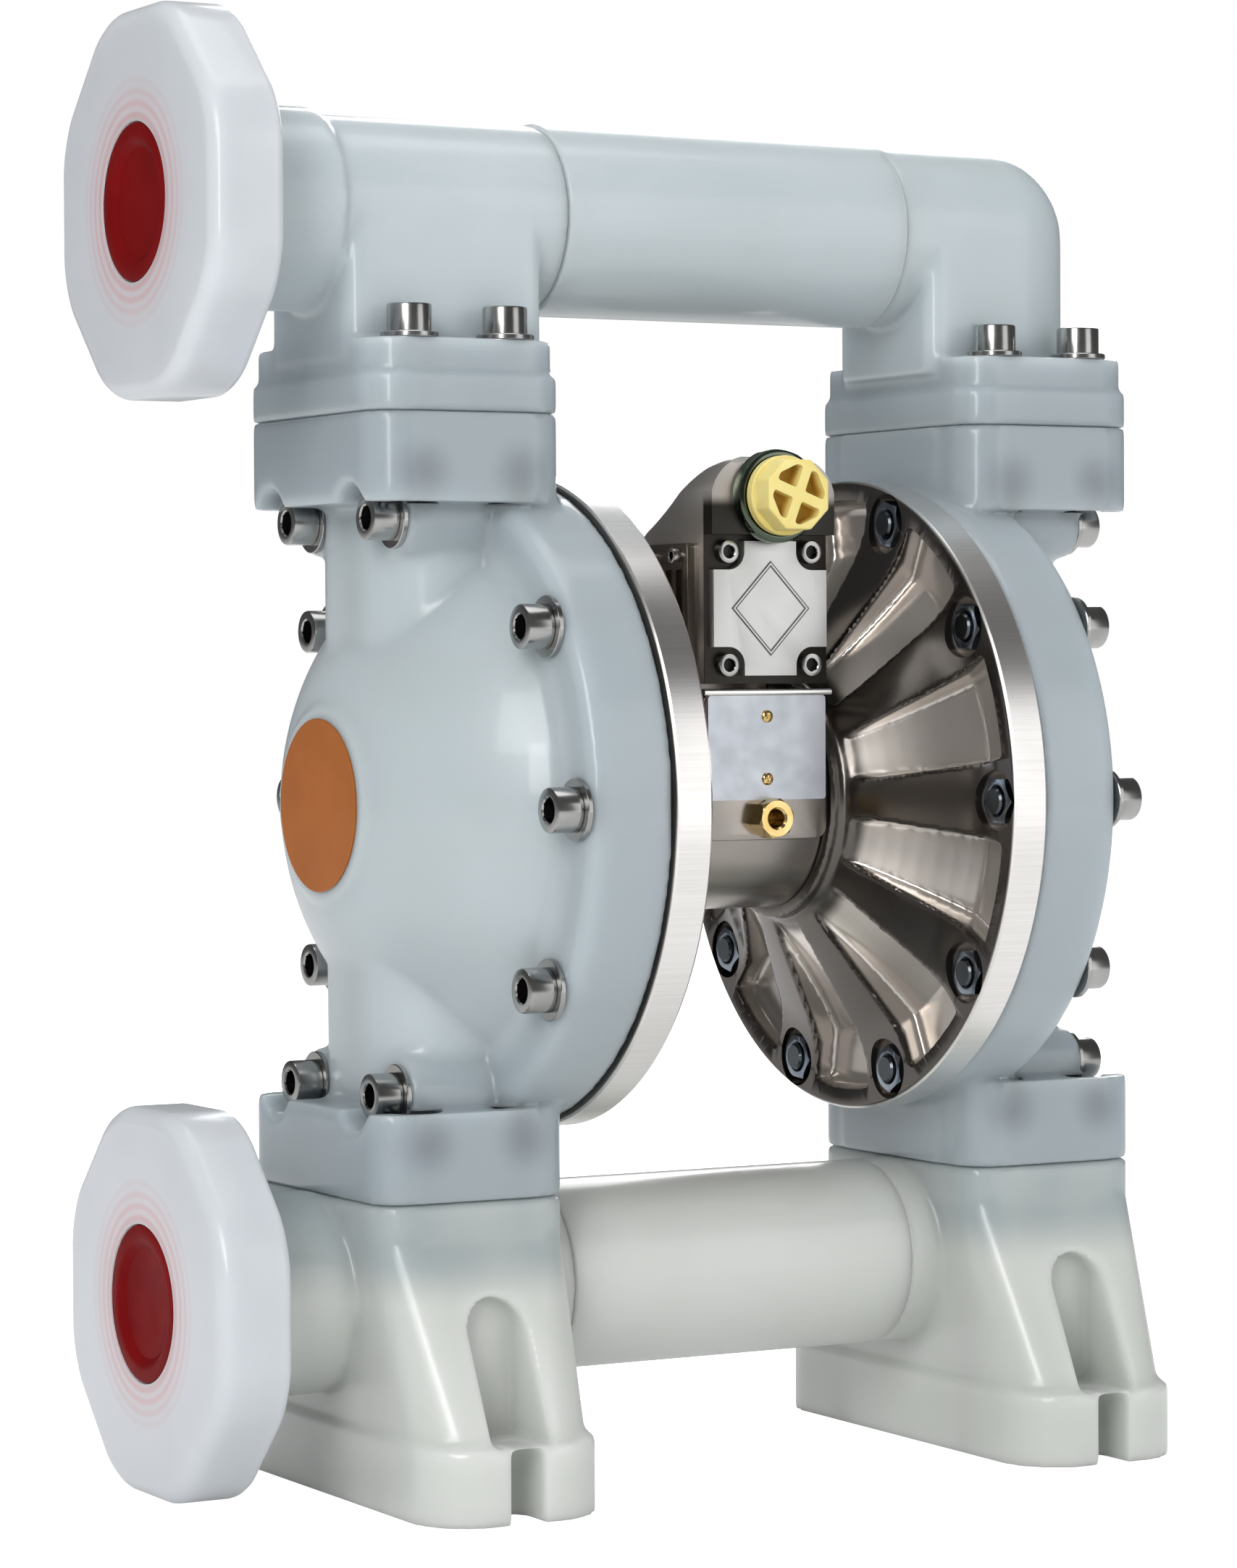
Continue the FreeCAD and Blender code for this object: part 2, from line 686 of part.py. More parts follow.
def makeCover(label, turned):
    body = newBody(label, turned=turned)
    profile = newSketch(body, "XZ_Plane")
    outline(
        profile,
        [
            (coverFace, 0),
            (coverFace, coverRimRadius),
            (coverSeat, coverRimRadius),
            (coverSeat, domeFootRadius),
            (domeTop - domeTopStep, domeTopRadius + 1),
            (domeTop, domeTopRadius - 1),
            (domeTop, 0),
        ],
        {3: -domeArc},
    )
    revolve(body, profile)
    neck = newSketch(body, "XY_Plane", -seamHeight)
    roundedBox(
        neck,
        neckInner,
        neckOuter,
        -neckHalfWidth,
        neckHalfWidth,
        neckInnerCorner,
        neckOuterCorner,
    )
    pad(body, neck, seamHeight + seamHeight)
    upper = flangeBlock(body, coverFlangeStart, coverFlangeHeight)
    mirrorOver(body, [upper], "XY_Plane")
    boss = newSketch(body, "YZ_Plane", neckInner)
    for across in (-highAcross, highAcross):
        for along in (-highAlong, highAlong):
            circle(boss, across, along, washerRadius + 1.5)
    pad(body, boss, highSeat - neckInner)
    rim = coverRimRadius.number
    seat = coverSeat.number
    roundEdges(
        body,
        coverRimRounding,
        lambda edge: near(box(edge).XMin, seat)
        and near(box(edge).XMax, seat)
        and edge.Curve.TypeId == "Part::GeomCircle"
        and near(edge.Curve.Radius, rim),
    )
    cavity = newSketch(body, "XZ_Plane")
    outline(
        cavity,
        [
            (coverFace - 2, 0),
            (coverFace - 2, domeFootRadius - coverWall * 0.4),
            (coverSeat - coverWall, domeFootRadius - coverWall * 0.4),
            (domeTop - coverWall - domeTopStep, domeTopRadius - coverWall * 0.5),
            (domeTop - coverWall - domeTopStep, 0),
        ],
        {2: coverWall - domeArc},
    )
    revolve(body, cavity, "PartDesign::Groove")
    throat = newSketch(body, "XY_Plane", seamHeight)
    circle(throat, portCentre, 0, cageRadius)
    throatPocket = pocket(body, throat, seamHeight - domeFootRadius * 0.6)
    recess = newSketch(body, "XY_Plane", seamHeight)
    circle(recess, portCentre, 0, seatRadius + fitGap * 0.5)
    recessPocket = pocket(body, recess, seatHalfHeight)
    bores = newSketch(body, "XY_Plane", seamHeight)
    flangeHoles(bores, boltRadius + boltClearance)
    borePocket = pocket(body, bores, coverFlangeHeight)
    nests = newSketch(body, "XY_Plane", coverFlangeStart)
    flangeHoles(nests, nutPocketRadius)
    nestPocket = pocket(body, nests, nutPocketDepth, True)
    mirrorOver(body, [throatPocket, recessPocket, borePocket, nestPocket], "XY_Plane")
    spots = newSketch(body, "YZ_Plane", highSeat)
    for across in (-highAcross, highAcross):
        for along in (-highAlong, highAlong):
            circle(spots, across, along, washerRadius + seatClearance)
    pocket(body, spots, washerRadius + washerRadius, True)
    hole = newSketch(body, "YZ_Plane", coverFace - 1)
    circle(hole, -boltCircle, 0, boltRadius + boltClearance)
    holePocket = pocket(body, hole, highSeat - coverFace + 2, True)
    aroundAxis(body, [holePocket], "X_Axis", boltCount)
    bead = newSketch(body, "XZ_Plane")
    outline(
        bead,
        [
            (coverFace - 1, beadInner),
            (coverFace + beadDepth, beadInner),
            (coverFace + beadDepth, beadOuter),
            (coverFace - 1, beadOuter),
        ],
    )
    revolve(body, bead, "PartDesign::Groove")
    stopBar(body, seatHalfHeight - seamHeight + ballReach)
    return body


# Discharge branches on top: a tee on the port side and an elbow on the other

def pipeStub(body, height, start, end, radius):
    ring = newSketch(body, "YZ_Plane", start)
    circle(ring, 0, height, radius)
    return pad(body, ring, end - start)


def startBranch(body):
    lower = manifoldFlangeHeight * 0.5
    flangeBlock(body, seamHeight, lower)
    flangeBlock(body, seamHeight + lower, manifoldFlangeHeight - lower, -flangeLip)


def makeDischargeElbow(label, turned):
    body = newBody(label, turned)
    startBranch(body)
    block = newSketch(body, "XY_Plane", manifoldFlangeEnd - 1)
    roundedBox(
        block,
        branchInner,
        flangeCentre + branchHalfWidth,
        -branchHalfWidth,
        branchHalfWidth,
        branchCorner,
        branchHalfWidth - 0.2,
    )
    pad(body, block, upperPipeHeight - manifoldFlangeEnd + 1)
    pipeStub(body, upperPipeHeight, sleeveHalfLength, flangeCentre, pipeRadius)
    corner = body.newObject("PartDesign::AdditiveSphere", body.Name + "Corner")
    corner.Radius = pipeRadius.number
    corner.setExpression("Radius", pipeRadius.formula)
    corner.Placement = FreeCAD.Placement(
        Vector(flangeCentre.number, 0, upperPipeHeight.number), FreeCAD.Rotation()
    )
    corner.setExpression("Placement.Base.x", flangeCentre.formula)
    corner.setExpression("Placement.Base.z", upperPipeHeight.formula)
    document.recompute()
    finishBranch(body, upperPipeHeight, sleeveHalfLength, flangeCentre, headHeight * 2.2)
    stopBar(body, seatTop + ballReach)
    return body


def finishBranch(body, pipeHeight, pipeStart, pipeEnd, headRoom):
    # The water ways, the seat recess, the bolt holes and the seats of the bolt heads
    through = newSketch(body, "YZ_Plane", pipeStart - 1)
    circle(through, 0, pipeHeight, pipeBore)
    pocket(body, through, pipeEnd - pipeStart + 2, True)
    rise = newSketch(body, "XY_Plane", seamHeight)
    circle(rise, portCentre, 0, cageRadius)
    pocket(body, rise, pipeHeight - seamHeight, True)
    recess = newSketch(body, "XY_Plane", seamHeight)
    circle(recess, portCentre, 0, seatRadius + fitGap * 0.5)
    pocket(body, recess, seatHalfHeight, True)
    bores = newSketch(body, "XY_Plane", seamHeight)
    flangeHoles(bores, boltRadius + boltClearance)
    pocket(body, bores, manifoldFlangeHeight, True)
    seats = newSketch(body, "XY_Plane", manifoldFlangeEnd)
    flangeHoles(seats, flangeWasherRadius + seatClearance * 0.5)
    pocket(body, seats, headRoom, True)


def stopBar(body, height):
    # The bar across the water way that a rising ball meets
    section = newSketch(body, "XZ_Plane", -cageRadius - 1)
    circle(section, portCentre, height, stopRadius)
    pad(body, section, cageRadius + cageRadius + 2)


def makeDischargeTee(label, turned):
    body = newBody(label, turned)
    startBranch(body)
    block = newSketch(body, "XY_Plane", manifoldFlangeEnd - 1)
    roundedBox(block, branchInner, branchOuter, -branchHalfWidth, branchHalfWidth, branchCorner)
    pad(body, block, upperPipeHeight - manifoldFlangeEnd + 1)
    pipeStub(body, upperPipeHeight, sleeveHalfLength, portBack, pipeRadius)
    pipeStub(body, upperPipeHeight, hubStart, portBack, hubRadius)
    finishBranch(body, upperPipeHeight, sleeveHalfLength, portBack, headHeight * 2.2)
    stopBar(body, seatTop + ballReach)
    return body


def makeSuctionFoot(label, turned, isTee):
    body = newBody(label, turned, True)
    flangeBlock(body, seamHeight, manifoldFlangeHeight * 0.6)
    top = newSketch(body, "XY_Plane", seamHeight + manifoldFlangeHeight * 0.5)
    legPlan(top, legTopDepth, legTopWidth, flangeCorner)
    bottom = newSketch(body, "XY_Plane", footTop)
    legPlan(bottom, legFootDepth, legFootWidth, footCorner)
    leg = body.newObject("PartDesign::AdditiveLoft", body.Name + "Leg")
    leg.Profile = top
    leg.Sections = [bottom]
    leg.Ruled = True
    top.Visibility = False
    bottom.Visibility = False
    foot = newSketch(body, "XY_Plane", footTop - 1)
    legPlan(foot, footHalfDepth, footHalfWidth, footCorner)
    pad(body, foot, footThickness + 1)
    low = shaftHeight.number
    roundEdges(body, footEdge * 0.5, lambda edge: near(box(edge).ZMin, low) and near(box(edge).ZMax, low))
    pipeEnd = portBack if isTee else flangeCentre
    pipeStub(body, lowerPipeHeight, sleeveHalfLength, pipeEnd, sleeveRadius)
    if isTee:
        pipeStub(body, lowerPipeHeight, hubStart, portBack, hubRadius)
    arch = newSketch(body, "XZ_Plane", archBack)
    halfRound(
        arch,
        flangeCentre - archHalfWidth,
        flangeCentre + archHalfWidth,
        footTop,
        archTop,
        False,
    )
    archPocket = pocket(body, arch, footHalfWidth - archBack + 5, True)
    slot = newSketch(body, "XY_Plane", footTop - 2)
    halfRound(
        slot,
        flangeCentre - slotHalfWidth,
        flangeCentre + slotHalfWidth,
        -footHalfWidth - 5,
        slotHalfWidth - slotCentre,
        False,
    )
    slotPocket = pocket(body, slot, footThickness + 4, True)
    mirrorOver(body, [archPocket, slotPocket], "XZ_Plane")
    finishBranch(body, lowerPipeHeight, sleeveHalfLength, pipeEnd, shaftHeight - manifoldFlangeEnd + 1)
    return body


def legPlan(sketch, halfDepth, halfWidth, corner):
    roundedBox(
        sketch,
        flangeCentre - halfDepth,
        flangeCentre + halfDepth,
        -halfWidth,
        halfWidth,
        corner,
    )


def makePipe(label, height, hanging):
    body = newBody(label, False, hanging)
    ring = newSketch(body, "YZ_Plane", -sleeveHalfLength)
    circle(ring, 0, height, sleeveRadius)
    circle(ring, 0, height, pipeBore)
    pad(body, ring, sleeveHalfLength + sleeveHalfLength)
    return body


def makePortFlange(label, height, hanging):
    body = newBody(label, True, hanging)
    plan = newSketch(body, "YZ_Plane", portBack)
    count = int(portSides.number)
    corners = []
    for index in range(count):
        angle = 2 * math.pi * (index + 0.5) / count
        reach = portApothem * (1 / math.cos(math.pi / count))
        corners.append((reach * math.cos(angle), height + reach * math.sin(angle)))
    outline(plan, corners)
    pad(body, plan, portThickness)
    inner = portBack.number
    outer = portFront.number
    roundEdges(
        body,
        portCornerRounding,
        lambda edge: near(box(edge).XMin, inner) and near(box(edge).XMax, outer),
    )
    roundEdges(
        body,
        portEdge,
        lambda edge: near(box(edge).XMin, outer) and near(box(edge).XMax, outer),
    )
    roundEdges(
        body,
        portEdge * 0.6,
        lambda edge: near(box(edge).XMin, inner) and near(box(edge).XMax, inner),
    )
    way = newSketch(body, "YZ_Plane", portBack - 1)
    circle(way, 0, height, portThread)
    pocket(body, way, portThickness + 2, True)
    recess = newSketch(body, "YZ_Plane", portFront)
    circle(recess, 0, height, portRecess)
    pocket(body, recess, portRecessDepth)
    return body


def makePortPlug(label, height, hanging):
    # A thin cup with a flange that closes the port
    body = newBody(label, True, hanging)
    face = newSketch(body, "YZ_Plane", portFront - portRecessDepth + fitGap)
    circle(face, 0, height, portRecess - fitGap)
    pad(body, face, plugThickness)
    stem = newSketch(body, "YZ_Plane", portFront - portRecessDepth + fitGap)
    circle(stem, 0, height, portThread - fitGap)
    pad(body, stem, plugStem, True)
    hollow = newSketch(body, "YZ_Plane", portFront - portRecessDepth - plugStem + fitGap)
    circle(hollow, 0, height, portThread - fitGap - plugWall)
    pocket(body, hollow, plugStem - plugWall * 0.5, True)
    return body


# The pieces between the chambers

def ringOf(body, places):
    profile = newSketch(body, "XZ_Plane")
    outline(profile, places)
    revolve(body, profile)
    return body


def makeDiaphragm(label, turned):
    body = newBody(label, turned)
    half = beadDepth - fitGap
    middle = rimBack + coverGap * 0.5
    inward = diaphragmInner + fitGap
    outward = outerPlateFace - fitGap
    return ringOf(
        body,
        [
            (inward, shaftEndRadius + fitGap),
            (inward, plateRadius + clampMargin),
            (middle - convolutionDepth, dishRimRadius - convolutionInset),
            (middle - half, dishRimRadius - 1),
            (middle - half, beadOuter - fitGap),
            (middle + half, beadOuter - fitGap),
            (middle + half, dishRimRadius - 1),
            (middle + diaphragmThickness - convolutionDepth, dishRimRadius - convolutionInset),
            (outward, plateRadius + clampMargin),
            (outward, shaftEndRadius + fitGap),
        ],
    )


def makeShaft(label):
    body = newBody(label)
    reach = outerPlateFace + outerPlateRise * 0.5
    return ringOf(
        body,
        [
            (-reach, 0),
            (-reach, shaftEndRadius),
            (-plateInner, shaftEndRadius),
            (-plateInner, shaftRadius),
            (plateInner, shaftRadius),
            (plateInner, shaftEndRadius),
            (reach, shaftEndRadius),
            (reach, 0),
        ],
    )


def makeInnerPlate(label, turned):
    body = newBody(label, turned)
    return ringOf(
        body,
        [
            (plateInner, shaftEndRadius + runningGap),
            (plateInner, plateRadius - 6),
            (diaphragmInner - 2, plateRadius),
            (diaphragmInner, plateRadius),
            (diaphragmInner, shaftEndRadius + runningGap),
        ],
    )


def makeOuterPlate(label, turned):
    body = newBody(label, turned)
    reach = outerPlateFace + outerPlateRise * 0.5 + 1
    return ringOf(
        body,
        [
            (outerPlateFace, shaftEndRadius + runningGap),
            (outerPlateFace, plateRadius),
            (outerPlateFace + 3, plateRadius),
            (outerPlateFace + outerPlateRise * 0.6, outerPlateShoulder),
            (outerPlateFace + outerPlateRise, outerPlateCrown),
            (outerPlateFace + outerPlateRise, 0),
            (reach, 0),
            (reach, shaftEndRadius + runningGap),
        ],
    )


def makeCentreBody(label):
    body = newBody(label)
    barrel = newSketch(body, "YZ_Plane", -hubFace)
    circle(barrel, 0, 0, bodyRadius)
    pad(body, barrel, hubFace + hubFace)
    front = newSketch(body, "XZ_Plane", padFront * 0.3)
    roundedBox(front, -padHalfWidth, padHalfWidth, -padBottom, padTop, padCorner)
    pad(body, front, padFront * 0.7)
    ledge = newSketch(body, "XZ_Plane", padFront * 0.5)
    roundedBox(ledge, -padHalfWidth - 1, padHalfWidth + 1, padTop - 2.2, padTop, measure(0.8))
    pad(body, ledge, padFront * 0.5 + 2.2)
    saddle = newSketch(body, "XY_Plane", padTop * 0.5)
    roundedBox(saddle, -padHalfWidth, padHalfWidth, valveGasketEnd, valveRear, measure(2))
    pad(body, saddle, valveBottom - padTop * 0.5)
    boss = newSketch(body, "XZ_Plane", -bodyRadius - 2)
    circle(boss, 0, 0, silencerRadius + 1.5)
    pad(body, boss, bodyRadius * 0.5)
    bore = newSketch(body, "YZ_Plane", -hubFace - 1)
    circle(bore, 0, 0, bushRadius + runningGap)
    pocket(body, bore, hubFace + hubFace + 2, True)
    drain = newSketch(body, "XZ_Plane", padFront)
    circle(drain, 0, -brassDrop, brassStem + fitGap)
    pocket(body, drain, brassHeight + 1)
    exhaust = newSketch(body, "XZ_Plane", -bodyRadius - 2)
    circle(exhaust, 0, 0, silencerStem + fitGap)
    pocket(body, exhaust, bodyRadius - bushRadius - 4, True)
    return body


def makeValveBody(label):
    body = newBody(label)
    side = newSketch(body, "YZ_Plane", -padHalfWidth)
    outline(
        side,
        [
            (valveRear, valveBottom),
            (valveRear, valveRearTop),
            (-valveShoulderRear, valveShoulder),
            (-valveSlopeRear, valveSlopeTop),
            (-valveTopRear, valveTop),
            (-valveBrow, valveBrowTop),
            (-valveBrow, valveBrowBottom),
            (-padFront, valveBrowBottom),
            (-padFront, valveBottom),
        ],
        {2: -valveArc},
    )
    pad(body, side, padHalfWidth + padHalfWidth)
    bore = newSketch(body, "YZ_Plane", -padHalfWidth - 1)
    circle(bore, -spoolDepth, spoolHeight, spoolRadius + runningGap)
    pocket(body, bore, padHalfWidth + padHalfWidth + 2, True)
    inlet = newSketch(body, "XZ_Plane", valveBrow)
    circle(inlet, 0, inletHeight, inletBore)
    pocket(body, inlet, inletDepth)
    holes = newSketch(body, "XZ_Plane", padFront)
    for across in (-faceScrewX, faceScrewX):
        for along in (-faceScrewZ, faceScrewZ):
            circle(holes, across, facePlateCentre + along, faceScrewShank + fitGap)
    pocket(body, holes, faceScrewLength)
    for sign in (-1, 1):
        capHoles = newSketch(body, "YZ_Plane", padHalfWidth * sign)
        capScrewHoles(capHoles)
        pocket(body, capHoles, capScrewReach + 1, sign < 0)
    return body


def makeFacePlate(label):
    body = newBody(label)
    plan = newSketch(body, "XZ_Plane", padFront)
    half = facePlateHeight * 0.5
    roundedBox(
        plan,
        facePlateWidth * -0.5,
        facePlateWidth * 0.5,
        facePlateCentre - half,
        facePlateCentre + half,
        measure(1.5),
    )
    pad(body, plan, facePlateThickness)
    corners = newSketch(body, "XZ_Plane", padFront + facePlateThickness)
    for across in (-faceScrewX, faceScrewX):
        for along in (-faceScrewZ, faceScrewZ):
            circle(corners, across, facePlateCentre + along, faceScallop)
    pocket(body, corners, facePlateThickness + 1)
    notches = newSketch(body, "XZ_Plane", padFront + facePlateThickness)
    for across in (-1, 1):
        for along in (-1, 1):
            outline(
                notches,
                [
                    (faceScrewX * across, facePlateCentre + (faceScrewZ - faceScallop) * along),
                    (facePlateWidth * across, facePlateCentre + (faceScrewZ - faceScallop) * along),
                    (facePlateWidth * across, facePlateCentre + facePlateHeight * along),
                    ((faceScrewX - faceScallop) * across, facePlateCentre + facePlateHeight * along),
                    ((faceScrewX - faceScallop) * across, facePlateCentre + faceScrewZ * along),
                    (faceScrewX * across, facePlateCentre + faceScrewZ * along),
                ],
            )
    pocket(body, notches, facePlateThickness + 1)
    rise = newSketch(body, "XZ_Plane", padFront + facePlateThickness)
    for reach in (diamondHalf, diamondHalf - 2):
        outline(
            rise,
            [
                (reach * 0.95, facePlateCentre),
                (0, facePlateCentre + reach),
                (reach * -0.95, facePlateCentre),
                (0, facePlateCentre - reach),
            ],
        )
    pad(body, rise, diamondRise)
    return body


def makeSideCap(label, turned):
    # The ribbed cover at each end of the spool bore
    body = newBody(label)
    start = padHalfWidth
    sign = -1 if turned else 1
    plan = newSketch(body, "YZ_Plane", start * sign)
    half = capWidth * 0.5
    roundedBox(
        plan,
        -spoolDepth - half,
        half - spoolDepth,
        facePlateCentre - capHeight * 0.5,
        facePlateCentre + capHeight * 0.5,
        measure(2),
    )
    pad(body, plan, capThickness, turned)
    slots = newSketch(body, "YZ_Plane", (start + capThickness) * sign)
    for index in range(4):
        middle = capWidth * (index * 0.22 - 0.33) - spoolDepth
        roundedBox(
            slots,
            middle - capWidth * 0.07,
            middle + capWidth * 0.07,
            facePlateCentre - capSlotDrop,
            facePlateCentre + capSlotRise,
            measure(1),
        )
    pocket(body, slots, capThickness * 0.6, turned)
    holes = newSketch(body, "YZ_Plane", (start + capThickness) * sign)
    capScrewHoles(holes)
    pocket(body, holes, capThickness + 1, turned)
    return body


def capScrewHoles(sketch):
    for across in (-capScrewDepth, capScrewDepth):
        for along in (-capScrewHeight, capScrewHeight):
            circle(sketch, across - spoolDepth, facePlateCentre + along, capScrewShank + fitGap)


def makeSpool(label):
    body = newBody(label)
    profile = newSketch(body, "XZ_Plane", spoolDepth)
    land = spoolHalfLength * 0.25
    outline(
        profile,
        [
            (-spoolHalfLength, spoolHeight),
            (-spoolHalfLength, spoolHeight + spoolRadius),
            (-spoolHalfLength + land, spoolHeight + spoolRadius),
            (-spoolHalfLength + land, spoolHeight + spoolNeck),
            (-land * 0.5, spoolHeight + spoolNeck),
            (-land * 0.5, spoolHeight + spoolRadius),
            (land * 0.5, spoolHeight + spoolRadius),
            (land * 0.5, spoolHeight + spoolNeck),
            (spoolHalfLength - land, spoolHeight + spoolNeck),
            (spoolHalfLength - land, spoolHeight + spoolRadius),
            (spoolHalfLength, spoolHeight + spoolRadius),
            (spoolHalfLength, spoolHeight),
        ],
    )
    item = feature(body, "PartDesign::Revolution", profile, {"Angle": 360.0})
    item.ReferenceAxis = (profile, ["Edge12"])
    document.recompute()
    return body


def makeInletRing(label):
    body = newBody(label)
    ring = newSketch(body, "XZ_Plane", valveBrow)
    circle(ring, 0, inletHeight, inletRadius)
    circle(ring, 0, inletHeight, inletBore)
    pad(body, ring, inletFront - valveBrow)
    front = inletFront.number
    outer = inletRadius.number
    roundEdges(
        body,
        measure(1.2),
        lambda edge: near(box(edge).YMin, -front)
        and near(box(edge).YMax, -front)
        and near(box(edge).XMax, outer),
    )
    return body


def makeInletPlug(label):
    # Eight sided plug with a cross of ribs in its face
    body = newBody(label)
    collar = newSketch(body, "XZ_Plane", inletFront + fitGap)
    circle(collar, 0, inletHeight, inletPlugCollar)
    pad(body, collar, inletPlugCollarWidth)
    head = newSketch(body, "XZ_Plane", inletFront + fitGap)
    corners = []
    for index in range(8):
        angle = math.pi * (index + 0.5) / 4
        across = inletPlugRadius * math.cos(angle)
        corners.append((across, inletHeight + inletPlugRadius * math.sin(angle)))
    outline(head, corners)
    pad(body, head, inletPlugCollarWidth + inletPlugLength)
    hollow = newSketch(body, "XZ_Plane", inletFront + fitGap + inletPlugCollarWidth + inletPlugLength)
    reach = inletPlugRadius * 0.62
    for across in (-1, 1):
        for along in (-1, 1):
            near1 = inletPlugRadius * (0.1 * across)
            far1 = reach * across
            near2 = inletHeight + inletPlugRadius * (0.1 * along)
            far2 = inletHeight + reach * along
            outline(hollow, [(near1, near2), (far1, near2), (near1, far2)])
    pocket(body, hollow, inletPlugLength * 0.6)
    stem = newSketch(body, "XZ_Plane", inletFront + fitGap)
    circle(stem, 0, inletHeight, inletBore - fitGap)
    pad(body, stem, inletPlugStem, True)
    return body


def makeSilencer(label):
    body = newBody(label)
    tube = newSketch(body, "XZ_Plane", -bodyRadius - 2)
    circle(tube, 0, 0, silencerRadius)
    pad(body, tube, silencerLength, True)
    stem = newSketch(body, "XZ_Plane", -bodyRadius - 2)
    circle(stem, 0, 0, silencerStem)
    pad(body, stem, silencerStem)
    back = bodyRadius.number + 2 + silencerLength.number
    roundEdges(body, measure(3), lambda edge: near(box(edge).YMin, back) and near(box(edge).YMax, back))
    return body


def makeSlab(label, halfWidth, low, high, front, thickness, corner):
    body = newBody(label)
    plan = newSketch(body, "XZ_Plane", front)
    roundedBox(plan, -halfWidth, halfWidth, low, high, measure(corner))
    pad(body, plan, thickness)
    holes = newSketch(body, "XZ_Plane", front + thickness)
    for along in (-dataScrewSpread, dataScrewSpread):
        circle(holes, 0, (low + high) * 0.5 + along, dataScrewRadius * 0.5 + fitGap)
    pocket(body, holes, thickness + 1)
    return body


def makeLabel(label, turned):
    body = newBody(label, turned)
    plan = newSketch(body, "YZ_Plane", domeTop)
    circle(plan, 0, 0, labelRadius)
    pad(body, plan, labelThickness)
    return body


def makeBushes(label, turned):
    body = newBody(label, turned)
    return ringOf(
        body,
        [
            (bushInner, shaftRadius + runningGap),
            (bushInner, bushRadius),
            (bushEnd, bushRadius),
            (bushEnd, shaftRadius + runningGap),
        ],
    )


# Loose pieces made from plain solids and copied into groups

def cylinder(name, radius, height, below=0):
    radius, height, below = measure(radius), measure(height), measure(below)
    item = document.addObject("Part::Cylinder", name)
    item.Radius = radius.number
    item.Height = height.number
    item.setExpression("Radius", radius.formula)
    item.setExpression("Height", height.formula)
    item.setExpression("Placement.Base.z", below.formula)
    return item


def prism(name, radius, height, below=0):
    radius, height, below = measure(radius), measure(height), measure(below)
    item = document.addObject("Part::Prism", name)
    item.Polygon = 6
    item.Circumradius = radius.number
    item.Height = height.number
    item.setExpression("Circumradius", radius.formula)
    item.setExpression("Height", height.formula)
    item.setExpression("Placement.Base.z", below.formula)
    return item


def joined(name, base, tool):
    item = document.addObject("Part::Fuse", name)
    item.Base = base
    item.Tool = tool
    return item


def minus(name, base, tool):
    item = document.addObject("Part::Cut", name)
    item.Base = base
    item.Tool = tool
    return item


def socketScrew(name, shank, length, head, rise, socket, depth):
    # The head stands on z = 0 and the shank hangs below it
    body = cylinder(name + "Head", head, rise)
    stem = cylinder(name + "Shank", shank, length + 0.5, -length)
    hex6 = prism(name + "Socket", socket, measure(depth) + 1, rise - depth)
    return minus(name, joined(name + "Blank", body, stem), hex6)


def washer(name, outer, inner, thickness):
    return minus(name, cylinder(name + "Disc", outer, thickness), cylinder(name + "Hole", inner, thickness + 2, -1))


def nut(name, radius, inner, height):
    return minus(name, prism(name + "Blank", radius, height), cylinder(name + "Hole", inner, height + 2, -1))


def group(label, master, places):
    # Separate solids of one kind in one node; each place is a point and the
    # direction that the master's own +Z takes there.
    document.recompute()
    solids = []
    for point, direction in places:
        copy = master.Shape.copy()
        turn = FreeCAD.Rotation(Vector(0, 0, 1), Vector(*direction))
        copy.Placement = FreeCAD.Placement(Vector(*point), turn).multiply(copy.Placement)
        solids.append(copy)
    item = document.addObject("Part::Feature", label)
    item.Label = label
    lift = FreeCAD.Placement(Vector(0, 0, shaftHeight.number), FreeCAD.Rotation())
    if len(solids) == 1:
        item.Shape = solids[0]
        item.Placement = lift.multiply(solids[0].Placement)
    else:
        item.Shape = Part.makeCompound(solids)
        item.Placement = lift
    return item


# Building every piece

nodes = []
for turned, side in ((True, "left"), (False, "right")):
    nodes.append(makeAirChamber("air_chamber_" + side, turned))
    nodes.append(makeCover("fluid_cover_" + side, turned))
    nodes.append(makeDiaphragm("diaphragm_" + side, turned))
    nodes.append(makeInnerPlate("inner_plate_" + side, turned))
    nodes.append(makeOuterPlate("outer_plate_" + side, turned))
    nodes.append(makeBushes("shaft_bush_" + side, turned))
    nodes.append(makeLabel("cover_label_" + side, turned))
    nodes.append(makeSideCap("valve_side_cap_" + side, turned))
nodes.append(makeDischargeTee("discharge_tee", True))
nodes.append(makeDischargeElbow("discharge_elbow", False))
nodes.append(makePipe("discharge_pipe", upperPipeHeight, False))
nodes.append(makeSuctionFoot("suction_tee_foot", True, True))
nodes.append(makeSuctionFoot("suction_elbow_foot", False, False))
nodes.append(makePipe("suction_pipe", lowerPipeHeight, True))
nodes.append(makePortFlange("discharge_port_flange", upperPipeHeight, False))
nodes.append(makePortFlange("suction_port_flange", lowerPipeHeight, True))
nodes.append(makePortPlug("discharge_port_plug", upperPipeHeight, False))
nodes.append(makePortPlug("suction_port_plug", lowerPipeHeight, True))
nodes.append(makeShaft("shaft"))
nodes.append(makeCentreBody("centre_body"))
nodes.append(makeValveBody("air_valve_body"))
nodes.append(makeFacePlate("valve_face_plate"))
nodes.append(makeSpool("valve_spool"))
nodes.append(makeInletRing("air_inlet_ring"))
nodes.append(makeInletPlug("air_inlet_plug"))
nodes.append(makeSilencer("exhaust_silencer"))
half = dataPlateHeight * 0.5
